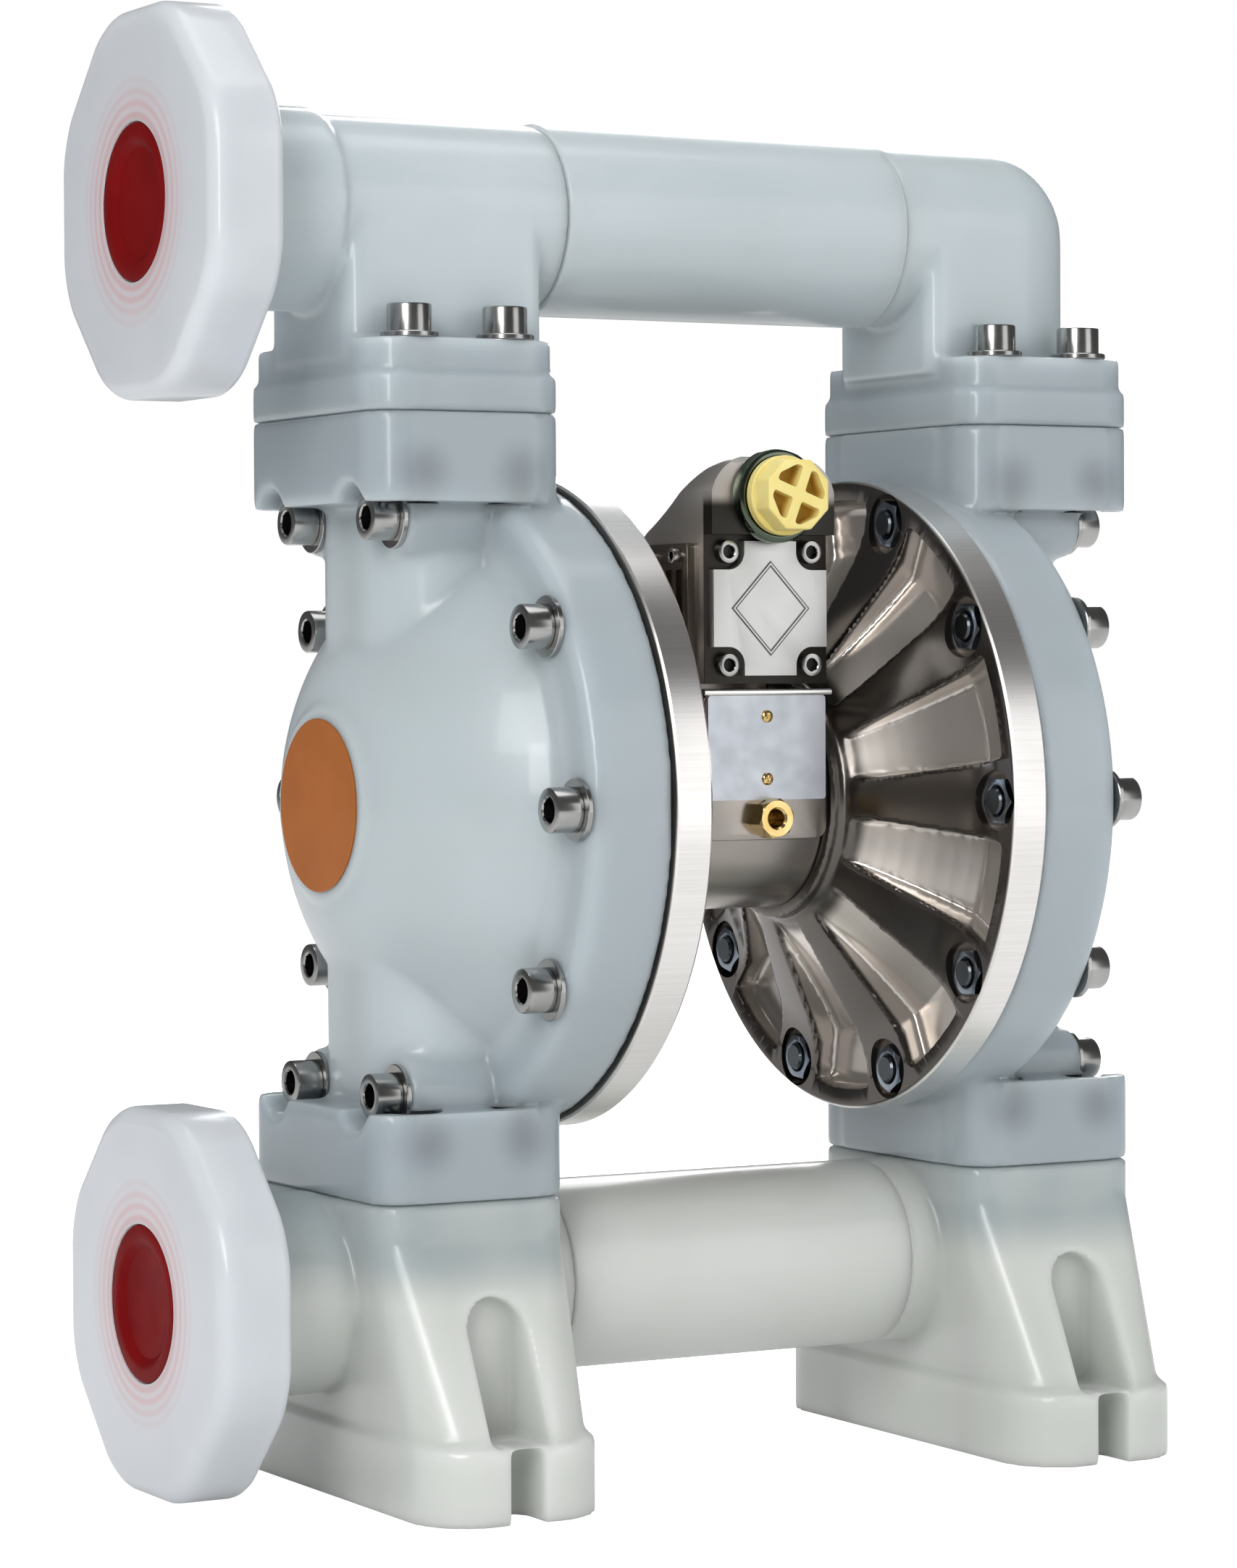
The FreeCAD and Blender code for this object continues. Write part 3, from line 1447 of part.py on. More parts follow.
nodes.append(
    makeSlab(
        "data_plate",
        dataPlateWidth * 0.5,
        dataPlateCentre - half,
        dataPlateCentre + half,
        padFront,
        dataPlateThickness,
        1.2,
    )
)

# Fasteners, balls, seats and fittings
coverPlaces = boltPlaces()
reach = {False: coverSeat.number + washerThickness.number, True: highSeat.number + washerThickness.number}
for high, label in ((False, "cover_bolts_short"), (True, "cover_bolts_long")):
    seat = highSeat if high else coverSeat
    length = seat + washerThickness - rimFace + threadTail
    bolt = socketScrew("Bolt" + label, boltRadius, length, headRadius, headHeight, socketRadius, socketDepth)
    places = []
    for sign in (-1, 1):
        for place in coverPlaces:
            if onNeck(place) == high:
                places.append(((sign * reach[high], place[0] * sign, place[1]), (sign, 0, 0)))
    nodes.append(group(label, bolt, places))

coverWasher = washer("CoverWasher", washerRadius, boltRadius + boltClearance * 0.5, washerThickness)
coverNut = nut("CoverNut", nutRadius, boltRadius + runningGap, nutHeight - fitGap)
washerPlaces = []
nutPlaces = []
for sign in (-1, 1):
    for place in coverPlaces:
        seat = highSeat.number if onNeck(place) else coverSeat.number
        washerPlaces.append(((sign * seat, place[0], place[1]), (sign, 0, 0)))
        nutPlaces.append(((sign * nutSeat.number, place[0], place[1]), (-sign, 0, 0)))
nodes.append(group("cover_washers", coverWasher, washerPlaces))
nodes.append(group("cover_nuts", coverNut, nutPlaces))

boltTop = manifoldFlangeEnd + washerThickness
nutFloor = coverFlangeStart + nutPocketDepth
flangeBolt = socketScrew(
    "FlangeBolt",
    boltRadius,
    boltTop - nutFloor + nutHeight + threadTail,
    headRadius,
    headHeight,
    socketRadius,
    socketDepth,
)
flangeWasher = washer("FlangeWasher", flangeWasherRadius, boltRadius + boltClearance * 0.5, washerThickness)
flangeNut = nut("FlangeNut", nutRadius, boltRadius + runningGap, nutHeight)
boltSpots = []
washerSpots = []
nutSpots = []
for sign in (-1, 1):
    for level in (-1, 1):
        for across in (-flangeBoltDepth.number, flangeBoltDepth.number):
            for along in (-flangeBoltWidth.number, flangeBoltWidth.number):
                spot = sign * (flangeCentre.number + across)
                boltSpots.append(((spot, along, level * boltTop.number), (0, 0, level)))
                washerSpots.append(((spot, along, level * manifoldFlangeEnd.number), (0, 0, level)))
                nutSpots.append(((spot, along, level * nutFloor.number), (0, 0, -level)))
nodes.append(group("manifold_bolts", flangeBolt, boltSpots))
nodes.append(group("manifold_washers", flangeWasher, washerSpots))
nodes.append(group("manifold_nuts", flangeNut, nutSpots))

seat = washer("BallSeat", seatRadius, seatBore, seatHalfHeight + seatHalfHeight)
for level, label in ((-1, "suction_seats"), (1, "discharge_seats")):
    start = level * seamHeight.number - seatHalfHeight.number
    places = [((sign * portCentre.number, 0, start), (0, 0, 1)) for sign in (-1, 1)]
    nodes.append(group(label, seat, places))

ball = document.addObject("Part::Sphere", "ValveBall")
ball.Radius = ballRadius.number
ball.setExpression("Radius", ballRadius.formula)
rest = ballRest.number + seatRestGap.number + seatHalfHeight.number
for level, stage in ((-1, "suction"), (1, "discharge")):
    for sign, side in ((-1, "left"), (1, "right")):
        place = (sign * portCentre.number, 0, level * seamHeight.number + rest)
        nodes.append(group("%s_ball_%s" % (stage, side), ball, [(place, (0, 0, 1))]))

faceScrew = socketScrew(
    "FaceScrew",
    faceScrewShank,
    faceScrewLength - 1,
    faceScrewHead,
    faceScrewHeadHeight,
    faceScrewHead * 0.58,
    faceScrewHeadHeight * 0.6,
)
places = []
for across in (-faceScrewX.number, faceScrewX.number):
    for along in (-faceScrewZ.number, faceScrewZ.number):
        places.append(((across, -padFront.number, facePlateCentre.number + along), (0, -1, 0)))
nodes.append(group("face_plate_screws", faceScrew, places))

capScrew = socketScrew(
    "CapScrew",
    capScrewShank,
    capThickness + capScrewReach,
    capScrewHead,
    capScrewHead,
    capScrewHead * 0.55,
    capScrewHead * 0.6,
)
places = []
for sign in (-1, 1):
    for across in (-capScrewDepth.number, capScrewDepth.number):
        for along in (-capScrewHeight.number, capScrewHeight.number):
            seat = (padHalfWidth.number + capThickness.number) * sign
            spot = (seat, across - spoolDepth.number, facePlateCentre.number + along)
            places.append((spot, (sign, 0, 0)))
nodes.append(group("side_cap_screws", capScrew, places))

dataScrew = socketScrew(
    "DataScrew",
    dataScrewRadius * 0.5,
    measure(0.4),
    dataScrewRadius,
    measure(1.2),
    dataScrewRadius * 0.5,
    measure(0.7),
)
dataFront = -padFront.number - dataPlateThickness.number
places = []
for along in (-dataScrewSpread.number, dataScrewSpread.number):
    places.append(((0, dataFront, dataPlateCentre.number + along), (0, -1, 0)))
nodes.append(group("data_plate_screws", dataScrew, places))

hexHead = prism("FittingHead", brassRadius, brassHeight)
hexStem = cylinder("FittingStem", brassStem, brassHeight + 0.5, -brassHeight)
hexBore = cylinder("FittingBore", brassBore, brassHeight * 3, brassHeight * -1.5)
fitting = minus("Fitting", joined("FittingBlank", hexHead, hexStem), hexBore)
nodes.append(group("drain_fitting", fitting, [((0, -padFront.number, -brassDrop.number), (0, -1, 0))]))

# Nothing is written before every object has been looked at
document.recompute()
for item in document.Objects:
    if "Invalid" in item.State or "Error" in item.State:
        raise RuntimeError("%s failed: %s" % (item.Label, item.State))
for node in nodes:
    if node.Shape.isNull() or not node.Shape.isValid():
        raise RuntimeError("bad shape: " + node.Label)
os.makedirs("parts", exist_ok=True)
for node in nodes:
    node.Shape.exportStep("parts/%s.step" % node.Label)
    solids = len(node.Shape.Solids)
    limits = node.Shape.BoundBox
    print("%-24s solids %2d volume %10.0f" % (node.Label, solids, node.Shape.Volume), end=" ")
    print("x %7.1f %7.1f y %7.1f %7.1f" % (limits.XMin, limits.XMax, limits.YMin, limits.YMax), end=" ")
    print("z %7.1f %7.1f" % (limits.ZMin, limits.ZMax))
print("nodes", len(nodes))
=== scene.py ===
import bpy
import bmesh
import math
from mathutils import Matrix, Vector


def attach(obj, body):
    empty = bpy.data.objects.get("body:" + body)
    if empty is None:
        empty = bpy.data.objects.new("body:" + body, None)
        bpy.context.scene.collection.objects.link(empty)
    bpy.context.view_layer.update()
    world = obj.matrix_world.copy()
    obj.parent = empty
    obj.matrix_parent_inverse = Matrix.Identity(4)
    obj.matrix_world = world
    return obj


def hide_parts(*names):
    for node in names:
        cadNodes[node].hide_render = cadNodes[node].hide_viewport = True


# Air operated diaphragm pump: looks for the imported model. Metres, +X along the shaft,
# -Y toward the air valve, +Z up, floor at z = 0.

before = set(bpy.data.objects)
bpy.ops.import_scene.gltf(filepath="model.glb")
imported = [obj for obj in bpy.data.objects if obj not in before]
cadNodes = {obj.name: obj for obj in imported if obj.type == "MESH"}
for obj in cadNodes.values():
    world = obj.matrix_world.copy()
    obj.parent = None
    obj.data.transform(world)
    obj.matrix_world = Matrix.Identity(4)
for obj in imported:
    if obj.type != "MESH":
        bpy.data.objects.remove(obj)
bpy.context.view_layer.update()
shaftHeight = 0.249
print("frame loaded,", len(cadNodes), "nodes")


# Camera at the photograph's angle

photoView = {
    "place": (-0.8784, -1.5331, 0.2963),
    "azimuth": math.radians(-28.83),
    "elevation": math.radians(1.36),
    "roll": math.radians(-0.30),
    "lens": 107.62,
    "sensor": 36.0,
}


def makeCamera(view):
    a, e, r = view["azimuth"], view["elevation"], view["roll"]
    back = Vector((math.sin(a) * math.cos(e), -math.cos(a) * math.cos(e), math.sin(e)))
    level = Vector((math.cos(a), math.sin(a), 0))
    rise = back.cross(level)
    right = level * math.cos(r) + rise * math.sin(r)
    up = rise * math.cos(r) - level * math.sin(r)
    camera = bpy.data.cameras.new("photoCamera")
    camera.lens = view["lens"]
    camera.sensor_width = view["sensor"]
    holder = bpy.data.objects.new("photoCamera", camera)
    turn = Matrix((right, up, back)).transposed().to_4x4()
    holder.matrix_world = Matrix.Translation(view["place"]) @ turn
    bpy.context.scene.collection.objects.link(holder)
    bpy.context.scene.camera = holder


makeCamera(photoView)


# Studio: white surroundings for the eye, darker ones for the reflections, soft boxes

studio = {
    "floorSize": 12.0,
    "floorColour": (0.92, 0.92, 0.92, 1),
    "floorRoughness": 0.9,
    "floorGlow": 0.90,
    "backdrop": 1.0,
    "ambient": 0.56,
    "mirrored": 0.10,
    "lights": [
        # name, place, aim, width, height, power
        ("keyLight", (-2.0, -1.7, 1.7), (0, 0, 0.27), 1.2, 1.2, 26),
        ("frontLight", (1.15, -1.9, 0.35), (0, 0, 0.27), 1.1, 2.4, 10.8),
        ("windowLight", (-1.5, -1.6, 0.75), (0, 0, 0.27), 0.35, 0.7, 7),
        ("topLight", (0.1, 0.1, 2.3), (0, 0, 0.25), 1.6, 1.2, 11),
        ("rimLight", (1.2, 1.7, 1.3), (0, 0, 0.3), 0.8, 1.2, 14),
    ],
}


def seenByCamera(tree, seen, hidden):
    # One shader for what the camera sees directly, another for light and reflections
    path = tree.nodes.new("ShaderNodeLightPath")
    choice = tree.nodes.new("ShaderNodeMixShader")
    tree.links.new(path.outputs["Is Camera Ray"], choice.inputs[0])
    tree.links.new(hidden, choice.inputs[1])
    tree.links.new(seen, choice.inputs[2])
    return choice.outputs[0]


def makeFloor(setup):
    shell = bmesh.new()
    bmesh.ops.create_grid(shell, x_segments=1, y_segments=1, size=setup["floorSize"] / 2)
    mesh = bpy.data.meshes.new("floor")
    shell.to_mesh(mesh)
    shell.free()
    floor = bpy.data.objects.new("floor", mesh)
    bpy.context.scene.collection.objects.link(floor)
    paint = bpy.data.materials.new("floorPaint")
    paint.use_nodes = True
    tree = paint.node_tree
    surface = tree.nodes["Principled BSDF"]
    surface.inputs["Base Color"].default_value = setup["floorColour"]
    surface.inputs["Roughness"].default_value = setup["floorRoughness"]
    glow = tree.nodes.new("ShaderNodeEmission")
    glow.inputs["Strength"].default_value = setup["floorGlow"]
    both = tree.nodes.new("ShaderNodeAddShader")
    tree.links.new(surface.outputs[0], both.inputs[0])
    tree.links.new(glow.outputs[0], both.inputs[1])
    result = seenByCamera(tree, both.outputs[0], surface.outputs[0])
    tree.links.new(result, tree.nodes["Material Output"].inputs["Surface"])
    mesh.materials.append(paint)


def makeSky(setup):
    world = bpy.data.worlds.new("studioWorld")
    bpy.context.scene.world = world
    world.use_nodes = True
    tree = world.node_tree
    sky = tree.nodes["Background"]
    sky.inputs["Color"].default_value = (1, 1, 1, 1)
    path = tree.nodes.new("ShaderNodeLightPath")
    strength = tree.nodes.new("ShaderNodeMapRange")
    strength.inputs["To Min"].default_value = setup["ambient"]
    strength.inputs["To Max"].default_value = setup["mirrored"]
    tree.links.new(path.outputs["Is Glossy Ray"], strength.inputs["Value"])
    tree.links.new(strength.outputs["Result"], sky.inputs["Strength"])
    seen = tree.nodes.new("ShaderNodeBackground")
    seen.inputs["Color"].default_value = (1, 1, 1, 1)
    seen.inputs["Strength"].default_value = setup["backdrop"]
    result = seenByCamera(tree, seen.outputs[0], sky.outputs[0])
    tree.links.new(result, tree.nodes["World Output"].inputs["Surface"])


def makeLights(setup):
    for name, place, aim, width, height, power in setup["lights"]:
        lamp = bpy.data.lights.new(name, "AREA")
        lamp.shape = "RECTANGLE"
        lamp.size = width
        lamp.size_y = height
        lamp.energy = power
        holder = bpy.data.objects.new(name, lamp)
        holder.location = place
        holder.rotation_mode = "QUATERNION"
        holder.rotation_quaternion = (Vector(aim) - Vector(place)).to_track_quat("-Z", "Y")
        bpy.context.scene.collection.objects.link(holder)


makeFloor(studio)
makeSky(studio)
makeLights(studio)
bpy.context.scene.view_settings.view_transform = "Standard"
bpy.context.scene.view_settings.look = "None"
print("camera and studio ready")


# Node helpers for the materials

class Paint:
    def __init__(self, name):
        self.material = bpy.data.materials.new(name)
        self.material.use_nodes = True
        self.tree = self.material.node_tree
        self.surface = self.tree.nodes["Principled BSDF"]
        self.place = self.node("ShaderNodeTexCoord").outputs["Object"]

    def node(self, kind, **settings):
        made = self.tree.nodes.new(kind)
        for setting, value in settings.items():
            setattr(made, setting, value)
        return made

    def feed(self, value, socket):
        if isinstance(value, bpy.types.NodeSocket):
            self.tree.links.new(value, socket)
        elif socket.type == "RGBA" and isinstance(value, tuple):
            socket.default_value = (*value[:3], 1)
        else:
            socket.default_value = value

    def set(self, **values):
        for name, value in values.items():
            self.surface.inputs[name.replace("_", " ")].default_value = value

    def math(self, operation, first, second=0.0, third=0.0):
        made = self.node("ShaderNodeMath", operation=operation)
        for value, socket in zip((first, second, third), made.inputs):
            self.feed(value, socket)
        return made.outputs[0]

    def product(self, first, *others):
        for other in others:
            first = self.math("MULTIPLY", first, other)
        return first

    def squares(self, across, up):
        return self.math("ADD", self.product(across, across), self.product(up, up))

    def reach(self, across, up):
        return self.math("SQRT", self.squares(across, up))

    def vector(self, operation, first, second=(0, 0, 0)):
        made = self.node("ShaderNodeVectorMath", operation=operation)
        self.feed(first, made.inputs[0])
        self.feed(second, made.inputs[1])
        return made.outputs["Value" if operation in ("LENGTH", "DOT_PRODUCT") else "Vector"]

    def split(self, value):
        made = self.node("ShaderNodeSeparateXYZ")
        self.feed(value, made.inputs[0])
        return made.outputs

    def fromCentre(self, rise=0.0):
        # x, y, z from the place this far over the middle of the shaft
        return self.split(self.vector("SUBTRACT", self.place, (0, 0, shaftHeight + rise)))

    def noise(self, scale, detail=3.0, roughness=0.5, where=None):
        made = self.node("ShaderNodeTexNoise")
        self.feed(where or self.place, made.inputs["Vector"])
        made.inputs["Scale"].default_value = scale
        made.inputs["Detail"].default_value = detail
        made.inputs["Roughness"].default_value = roughness
        return made.outputs["Fac"]

    def stretched(self, scale):
        made = self.node("ShaderNodeMapping")
        self.feed(self.place, made.inputs["Vector"])
        made.inputs["Scale"].default_value = scale
        return made.outputs["Vector"]

    def ramp(self, value, low, high, bottom=0.0, top=1.0):
        made = self.node("ShaderNodeMapRange", interpolation_type="SMOOTHSTEP")
        self.feed(value, made.inputs["Value"])
        made.inputs["From Min"].default_value = low
        made.inputs["From Max"].default_value = high
        made.inputs["To Min"].default_value = bottom
        made.inputs["To Max"].default_value = top
        return made.outputs["Result"]

    def fall(self, value, low, high, top=1.0):
        return self.ramp(value, low, high, top, 0.0)

    def mix(self, share, first, second):
        made = self.node("ShaderNodeMix", data_type="RGBA")
        self.feed(share, made.inputs[0])
        self.feed(first, made.inputs[6])
        self.feed(second, made.inputs[7])
        return made.outputs[2]

    def colour(self, value):
        self.feed(value, self.surface.inputs["Base Color"])

    def rough(self, value):
        self.feed(value, self.surface.inputs["Roughness"])

    def bump(self, height, strength, distance):
        made = self.node("ShaderNodeBump")
        made.inputs["Strength"].default_value = strength
        made.inputs["Distance"].default_value = distance
        self.feed(height, made.inputs["Height"])
        self.feed(made.outputs["Normal"], self.surface.inputs["Normal"])


def lighter(colour, factor, redShare=1.0):
    red, green, blue = colour
    return (red * factor * redShare, green * factor, blue * factor * (1 + redShare) / 2)


milkyForm = {
    "cloud": 11.0, "depth": 5.5, "depthShare": 0.5, "streak": 22.0, "nutShadeColour": (0.085, 0.10, 0.125),
    "shadeBandFoot": (0.082, 0.114), "shadeBandTop": (0.158, 0.176), "shadeBandSide": (0.080, 0.086),
    "rim": (0.094, 0.108), "rimShadeShare": 0.75, "rimShadeEnd": (0.139, 0.141),
    "nut": (0.1234, 0.0445, 0.119), "nutSpread": 0.019, "nutShadeBlur": (0.007, 0.019), "nutShadeShare": 0.62,
}


def milkyPlastic(name, bright, shade, thickShade, glow=0.022):
    # Translucent moulded plastic: cloudy, with painted shade where it is thick, and with painted
    # shade as dark blurs inside the flanges, where the nuts and bolts sit behind the plastic
    paint = Paint(name)
    form = milkyForm
    clouds = paint.noise(form["cloud"])
    colour = paint.mix(paint.ramp(clouds, 0.2, 0.8), bright, shade)
    depths = paint.product(paint.noise(form["depth"], 2.0, 0.45), form["depthShare"])
    colour = paint.mix(depths, colour, lighter(shade, 0.84, 0.97))
    mirrored = paint.vector("ABSOLUTE", paint.vector("SUBTRACT", paint.place, (0, 0, shaftHeight)))
    x, y, z = paint.split(mirrored)
    # painted shade: the thick rim of the cover darker
    rim = paint.product(paint.ramp(paint.reach(y, z), *form["rim"], 0.0, form["rimShadeShare"]),
                        paint.fall(z, *form["rimShadeEnd"]))
    colour = paint.mix(rim, colour, thickShade)
    # painted shade: darker bands over the flanges and necks where the plastic is thick, streaked at random
    band = paint.product(paint.ramp(z, *form["shadeBandFoot"]), paint.fall(z, *form["shadeBandTop"]),
                         paint.ramp(x, *form["shadeBandSide"]))
    streaks = paint.noise(form["streak"], 1.0, 0.4, paint.stretched((1.4, 1.4, 0.6)))
    colour = paint.mix(paint.product(band, paint.ramp(streaks, 0.3, 0.7, 0.7, 1.0)), colour, thickShade)
    # painted shade: dark blurs over the nuts and bolts inside the flanges
    fromNut = paint.vector("ABSOLUTE", paint.vector("SUBTRACT", mirrored, form["nut"]))
    nutDistance = paint.vector("LENGTH", paint.vector("SUBTRACT", fromNut, (form["nutSpread"], 0, 0)))
    dark = paint.fall(nutDistance, *form["nutShadeBlur"], form["nutShadeShare"])
    paint.colour(paint.mix(dark, colour, form["nutShadeColour"]))
    paint.rough(paint.ramp(clouds, 0.1, 0.9, 0.28, 0.32))
    paint.set(Subsurface_Weight=0.85, Subsurface_Radius=(1.0, 1.0, 1.0), Subsurface_Scale=glow)
    paint.set(IOR=1.45, Coat_Weight=0.25, Coat_Roughness=0.07)
    return paint.material


portGlowRings = {"levels": (0.2141, -0.1755), "plug": 0.0285, "fade": 0.050, "pitch": 0.0042}


def portPlastic(name, bright, shade, plugGlow):
    # The plastic of the port flanges takes a painted pink glow, in faint rings, round the red plugs
    paint = Paint(name)
    colour = paint.mix(paint.ramp(paint.noise(14.0), 0.2, 0.8), bright, shade)
    distances = []
    for level in portGlowRings["levels"]:
        x, y, z = paint.fromCentre(level)
        distances.append(paint.reach(y, z))
    reach = paint.math("MINIMUM", *distances)
    near = paint.fall(reach, portGlowRings["plug"], portGlowRings["fade"])
    wave = paint.math("SINE", paint.product(reach, math.tau / portGlowRings["pitch"]))
    # painted glow: pink rings fading away from the plugs
    paint.colour(paint.mix(paint.product(near, paint.ramp(wave, -1.0, 1.0, 0.22, 0.62)), colour, plugGlow))
    paint.rough(paint.ramp(paint.noise(14.0, 2.0), 0.1, 0.9, 0.28, 0.34))
    paint.set(Subsurface_Weight=0.7, Subsurface_Radius=(1.0, 0.97, 0.95), Subsurface_Scale=0.012)
    paint.set(IOR=1.45, Coat_Weight=0.25, Coat_Roughness=0.07)
    return paint.material


valveShadeForm = {"front": (-0.0500, -0.0492), "low": (0.0420, 0.0425), "high": (0.1075, 0.1125)}


def valveCasting(name, side, front):
    # The valve block: plated sides, with painted shade over its front
    paint = Paint(name)
    soft = paint.ramp(paint.noise(26.0), 0.3, 0.7)
    x, y, z = paint.fromCentre()
    # painted shade: the front face of the block near black
    shadedFront = paint.product(paint.fall(y, *valveShadeForm["front"]), paint.ramp(z, *valveShadeForm["low"]),
                            paint.fall(z, *valveShadeForm["high"]))
    paint.colour(paint.mix(shadedFront, paint.mix(soft, side, lighter(side, 1.2)), front))
    paint.rough(paint.ramp(soft, 0.0, 1.0, 0.28, 0.32))
    paint.set(Metallic=0.85)
    return paint.material


castingForm = {
    "coneFoot": 0.0126, "coneSlope": 0.5096, "face": 0.0625, "deep": (0.0012, 0.0030),
    "hub": (0.046, 0.050), "pocketEnd": (0.1150, 0.1160), "pocketReflectionReach": (0.056, 0.080), "band": 0.1193,
    "ledgeLow": 0.0385, "ledgeHigh": 0.0415, "ledgeFront": (-0.0508, -0.0504), "ledgeSide": (0.0272, 0.0274),
    "ledgeHighlight": (0.80, 0.79, 0.77), "brushed": ((0.82, 0.80, 0.78), (0.90, 0.88, 0.86)),
}


def platedCasting(name, petal, pocket):
    # Dark plated casting: lighter and duller inside the pockets, with a painted reflection on the pocket
    # floors, brushed round the rim, with a painted highlight on the ledge over the data plate
    paint = Paint(name)
    form = castingForm
    soft = paint.ramp(paint.noise(26.0), 0.3, 0.7)
    x, y, z = paint.fromCentre()
    across, radius = paint.math("ABSOLUTE", x), paint.reach(y, z)
    colour = paint.mix(soft, petal, lighter(petal, 1.2))
    cone = paint.math("ADD", paint.product(radius, form["coneSlope"]), form["coneFoot"])
    depth = paint.math("SUBTRACT", across, paint.math("MINIMUM", cone, form["face"]))
    sunk = paint.product(paint.ramp(depth, *form["deep"]), paint.ramp(radius, *form["hub"]),
                         paint.fall(radius, *form["pocketEnd"]))
    # painted reflection: the pocket floors brighter toward the hub
    floor = paint.mix(paint.ramp(radius, *form["pocketReflectionReach"]), lighter(pocket, 1.7), pocket)
    colour = paint.mix(sunk, colour, floor)
    # painted highlight: a bright line along the ledge over the data plate
    low, high = form["ledgeLow"], form["ledgeHigh"]
    ledge = paint.product(paint.ramp(z, low - 0.0002, low), paint.fall(z, high, high + 0.0002),
                          paint.fall(y, *form["ledgeFront"]), paint.fall(across, *form["ledgeSide"]))
    colour = paint.mix(ledge, colour, form["ledgeHighlight"])
    band = paint.ramp(radius, form["band"] - 0.0003, form["band"] + 0.0003)
    streaks = paint.noise(1.0, 4.0, 0.7, paint.stretched((18.0, 1600.0, 1600.0)))
    paint.colour(paint.mix(band, colour, paint.mix(paint.ramp(streaks, 0.3, 0.7), *form["brushed"])))
    paint.rough(paint.math("ADD", paint.ramp(soft, 0.0, 1.0, 0.19, 0.23), paint.product(band, 0.10)))
    dull = paint.product(paint.math("SUBTRACT", 1.0, band), paint.ramp(sunk, 0.0, 1.0, 0.06, 0.30))
    paint.feed(paint.math("SUBTRACT", 1.0, dull), paint.surface.inputs["Metallic"])
    paint.bump(paint.mix(band, paint.noise(70.0, 2.0), streaks), 0.04, 0.0005)
    return paint.material


def plainMetal(name, dark, light, low, high, grain):
    paint = Paint(name)
    paint.colour(paint.mix(paint.ramp(paint.noise(grain, 4.0), 0.3, 0.7), dark, light))
    paint.rough(paint.ramp(paint.noise(grain * 1.7, 2.0), 0.25, 0.75, low, high))
    paint.set(Metallic=1.0)
    return paint.material


tailForm = {"inner": (0.050, 0.052), "outer": (0.068, 0.070), "radiusSquared": (0.0102, 0.0104)}


def boltSteel(name, dark, light, tail):
    # Smooth steel; the bolts' ends in the nuts of the air chambers are dull and dark
    paint = Paint(name)
    colour = paint.mix(paint.ramp(paint.noise(60.0), 0.3, 0.7), dark, light)
    x, y, z = paint.fromCentre()
    across = paint.math("ABSOLUTE", x)
    isTail = paint.product(paint.fall(across, *tailForm["outer"]), paint.ramp(across, *tailForm["inner"]),
                           paint.ramp(paint.squares(y, z), *tailForm["radiusSquared"]))
    paint.colour(paint.mix(isTail, colour, tail))
    paint.rough(paint.ramp(paint.noise(90.0, 2.0), 0.25, 0.75, 0.20, 0.25))
    paint.set(Metallic=1.0)
    return paint.material


diamondForm = {"centre": 0.0706, "wide": 0.0163, "high": 0.0172, "outlines": (1.0, 0.90)}


def facePlateMetal(name, dark, light, line):
    # Bright plate with two dark outlines of a diamond
    paint = Paint(name)
    form = diamondForm
    colour = paint.mix(paint.ramp(paint.noise(30.0), 0.3, 0.7), dark, light)
    fromMiddle = paint.vector("SUBTRACT", paint.place, (0, 0, shaftHeight + form["centre"]))
    x, y, z = paint.split(paint.vector("ABSOLUTE", fromMiddle))
    reach = paint.math("ADD", paint.math("DIVIDE", x, form["wide"]), paint.math("DIVIDE", z, form["high"]))
    for outline in form["outlines"]:
        away = paint.math("ABSOLUTE", paint.math("SUBTRACT", reach, outline))
        colour = paint.mix(paint.fall(away, 0.010, 0.034, 0.9), colour, line)
    paint.colour(colour)
    paint.rough(paint.ramp(paint.noise(60.0, 2.0), 0.25, 0.75, 0.40, 0.46))
    paint.set(Metallic=1.0)
    return paint.material


def plainPlastic(name, dark, light, low, high, gloss=0.2, sheen=0.5):
    paint = Paint(name)
    paint.colour(paint.mix(paint.ramp(paint.noise(40.0), 0.3, 0.7), dark, light))
    paint.rough(paint.ramp(paint.noise(60.0, 2.0), 0.25, 0.75, low, high))
    paint.set(Coat_Weight=gloss, Coat_Roughness=0.1, Specular_IOR_Level=sheen)
    return paint.material


plugForm = {"centre": 0.1116, "pocketDepth": (-0.0735, -0.0685), "pocketReach": (0.0118, 0.0122)}


def plugPlastic(name, dark, light, deep):
    # Pale yellow, with painted shade deeper in the pockets of the inlet plug
    paint = Paint(name)
    colour = paint.mix(paint.ramp(paint.noise(40.0), 0.3, 0.7), dark, light)
    x, y, z = paint.fromCentre(plugForm["centre"])
    # painted shade: the pockets darker and deeper in colour
    sunk = paint.product(paint.ramp(y, *plugForm["pocketDepth"]),
                         paint.fall(paint.reach(x, z), *plugForm["pocketReach"]))
    paint.colour(paint.mix(sunk, colour, deep))
    paint.rough(paint.ramp(paint.noise(60.0, 2.0), 0.25, 0.75, 0.32, 0.42))
    paint.set(Subsurface_Weight=0.15, Subsurface_Scale=0.004, Specular_IOR_Level=0.35)
    return paint.material


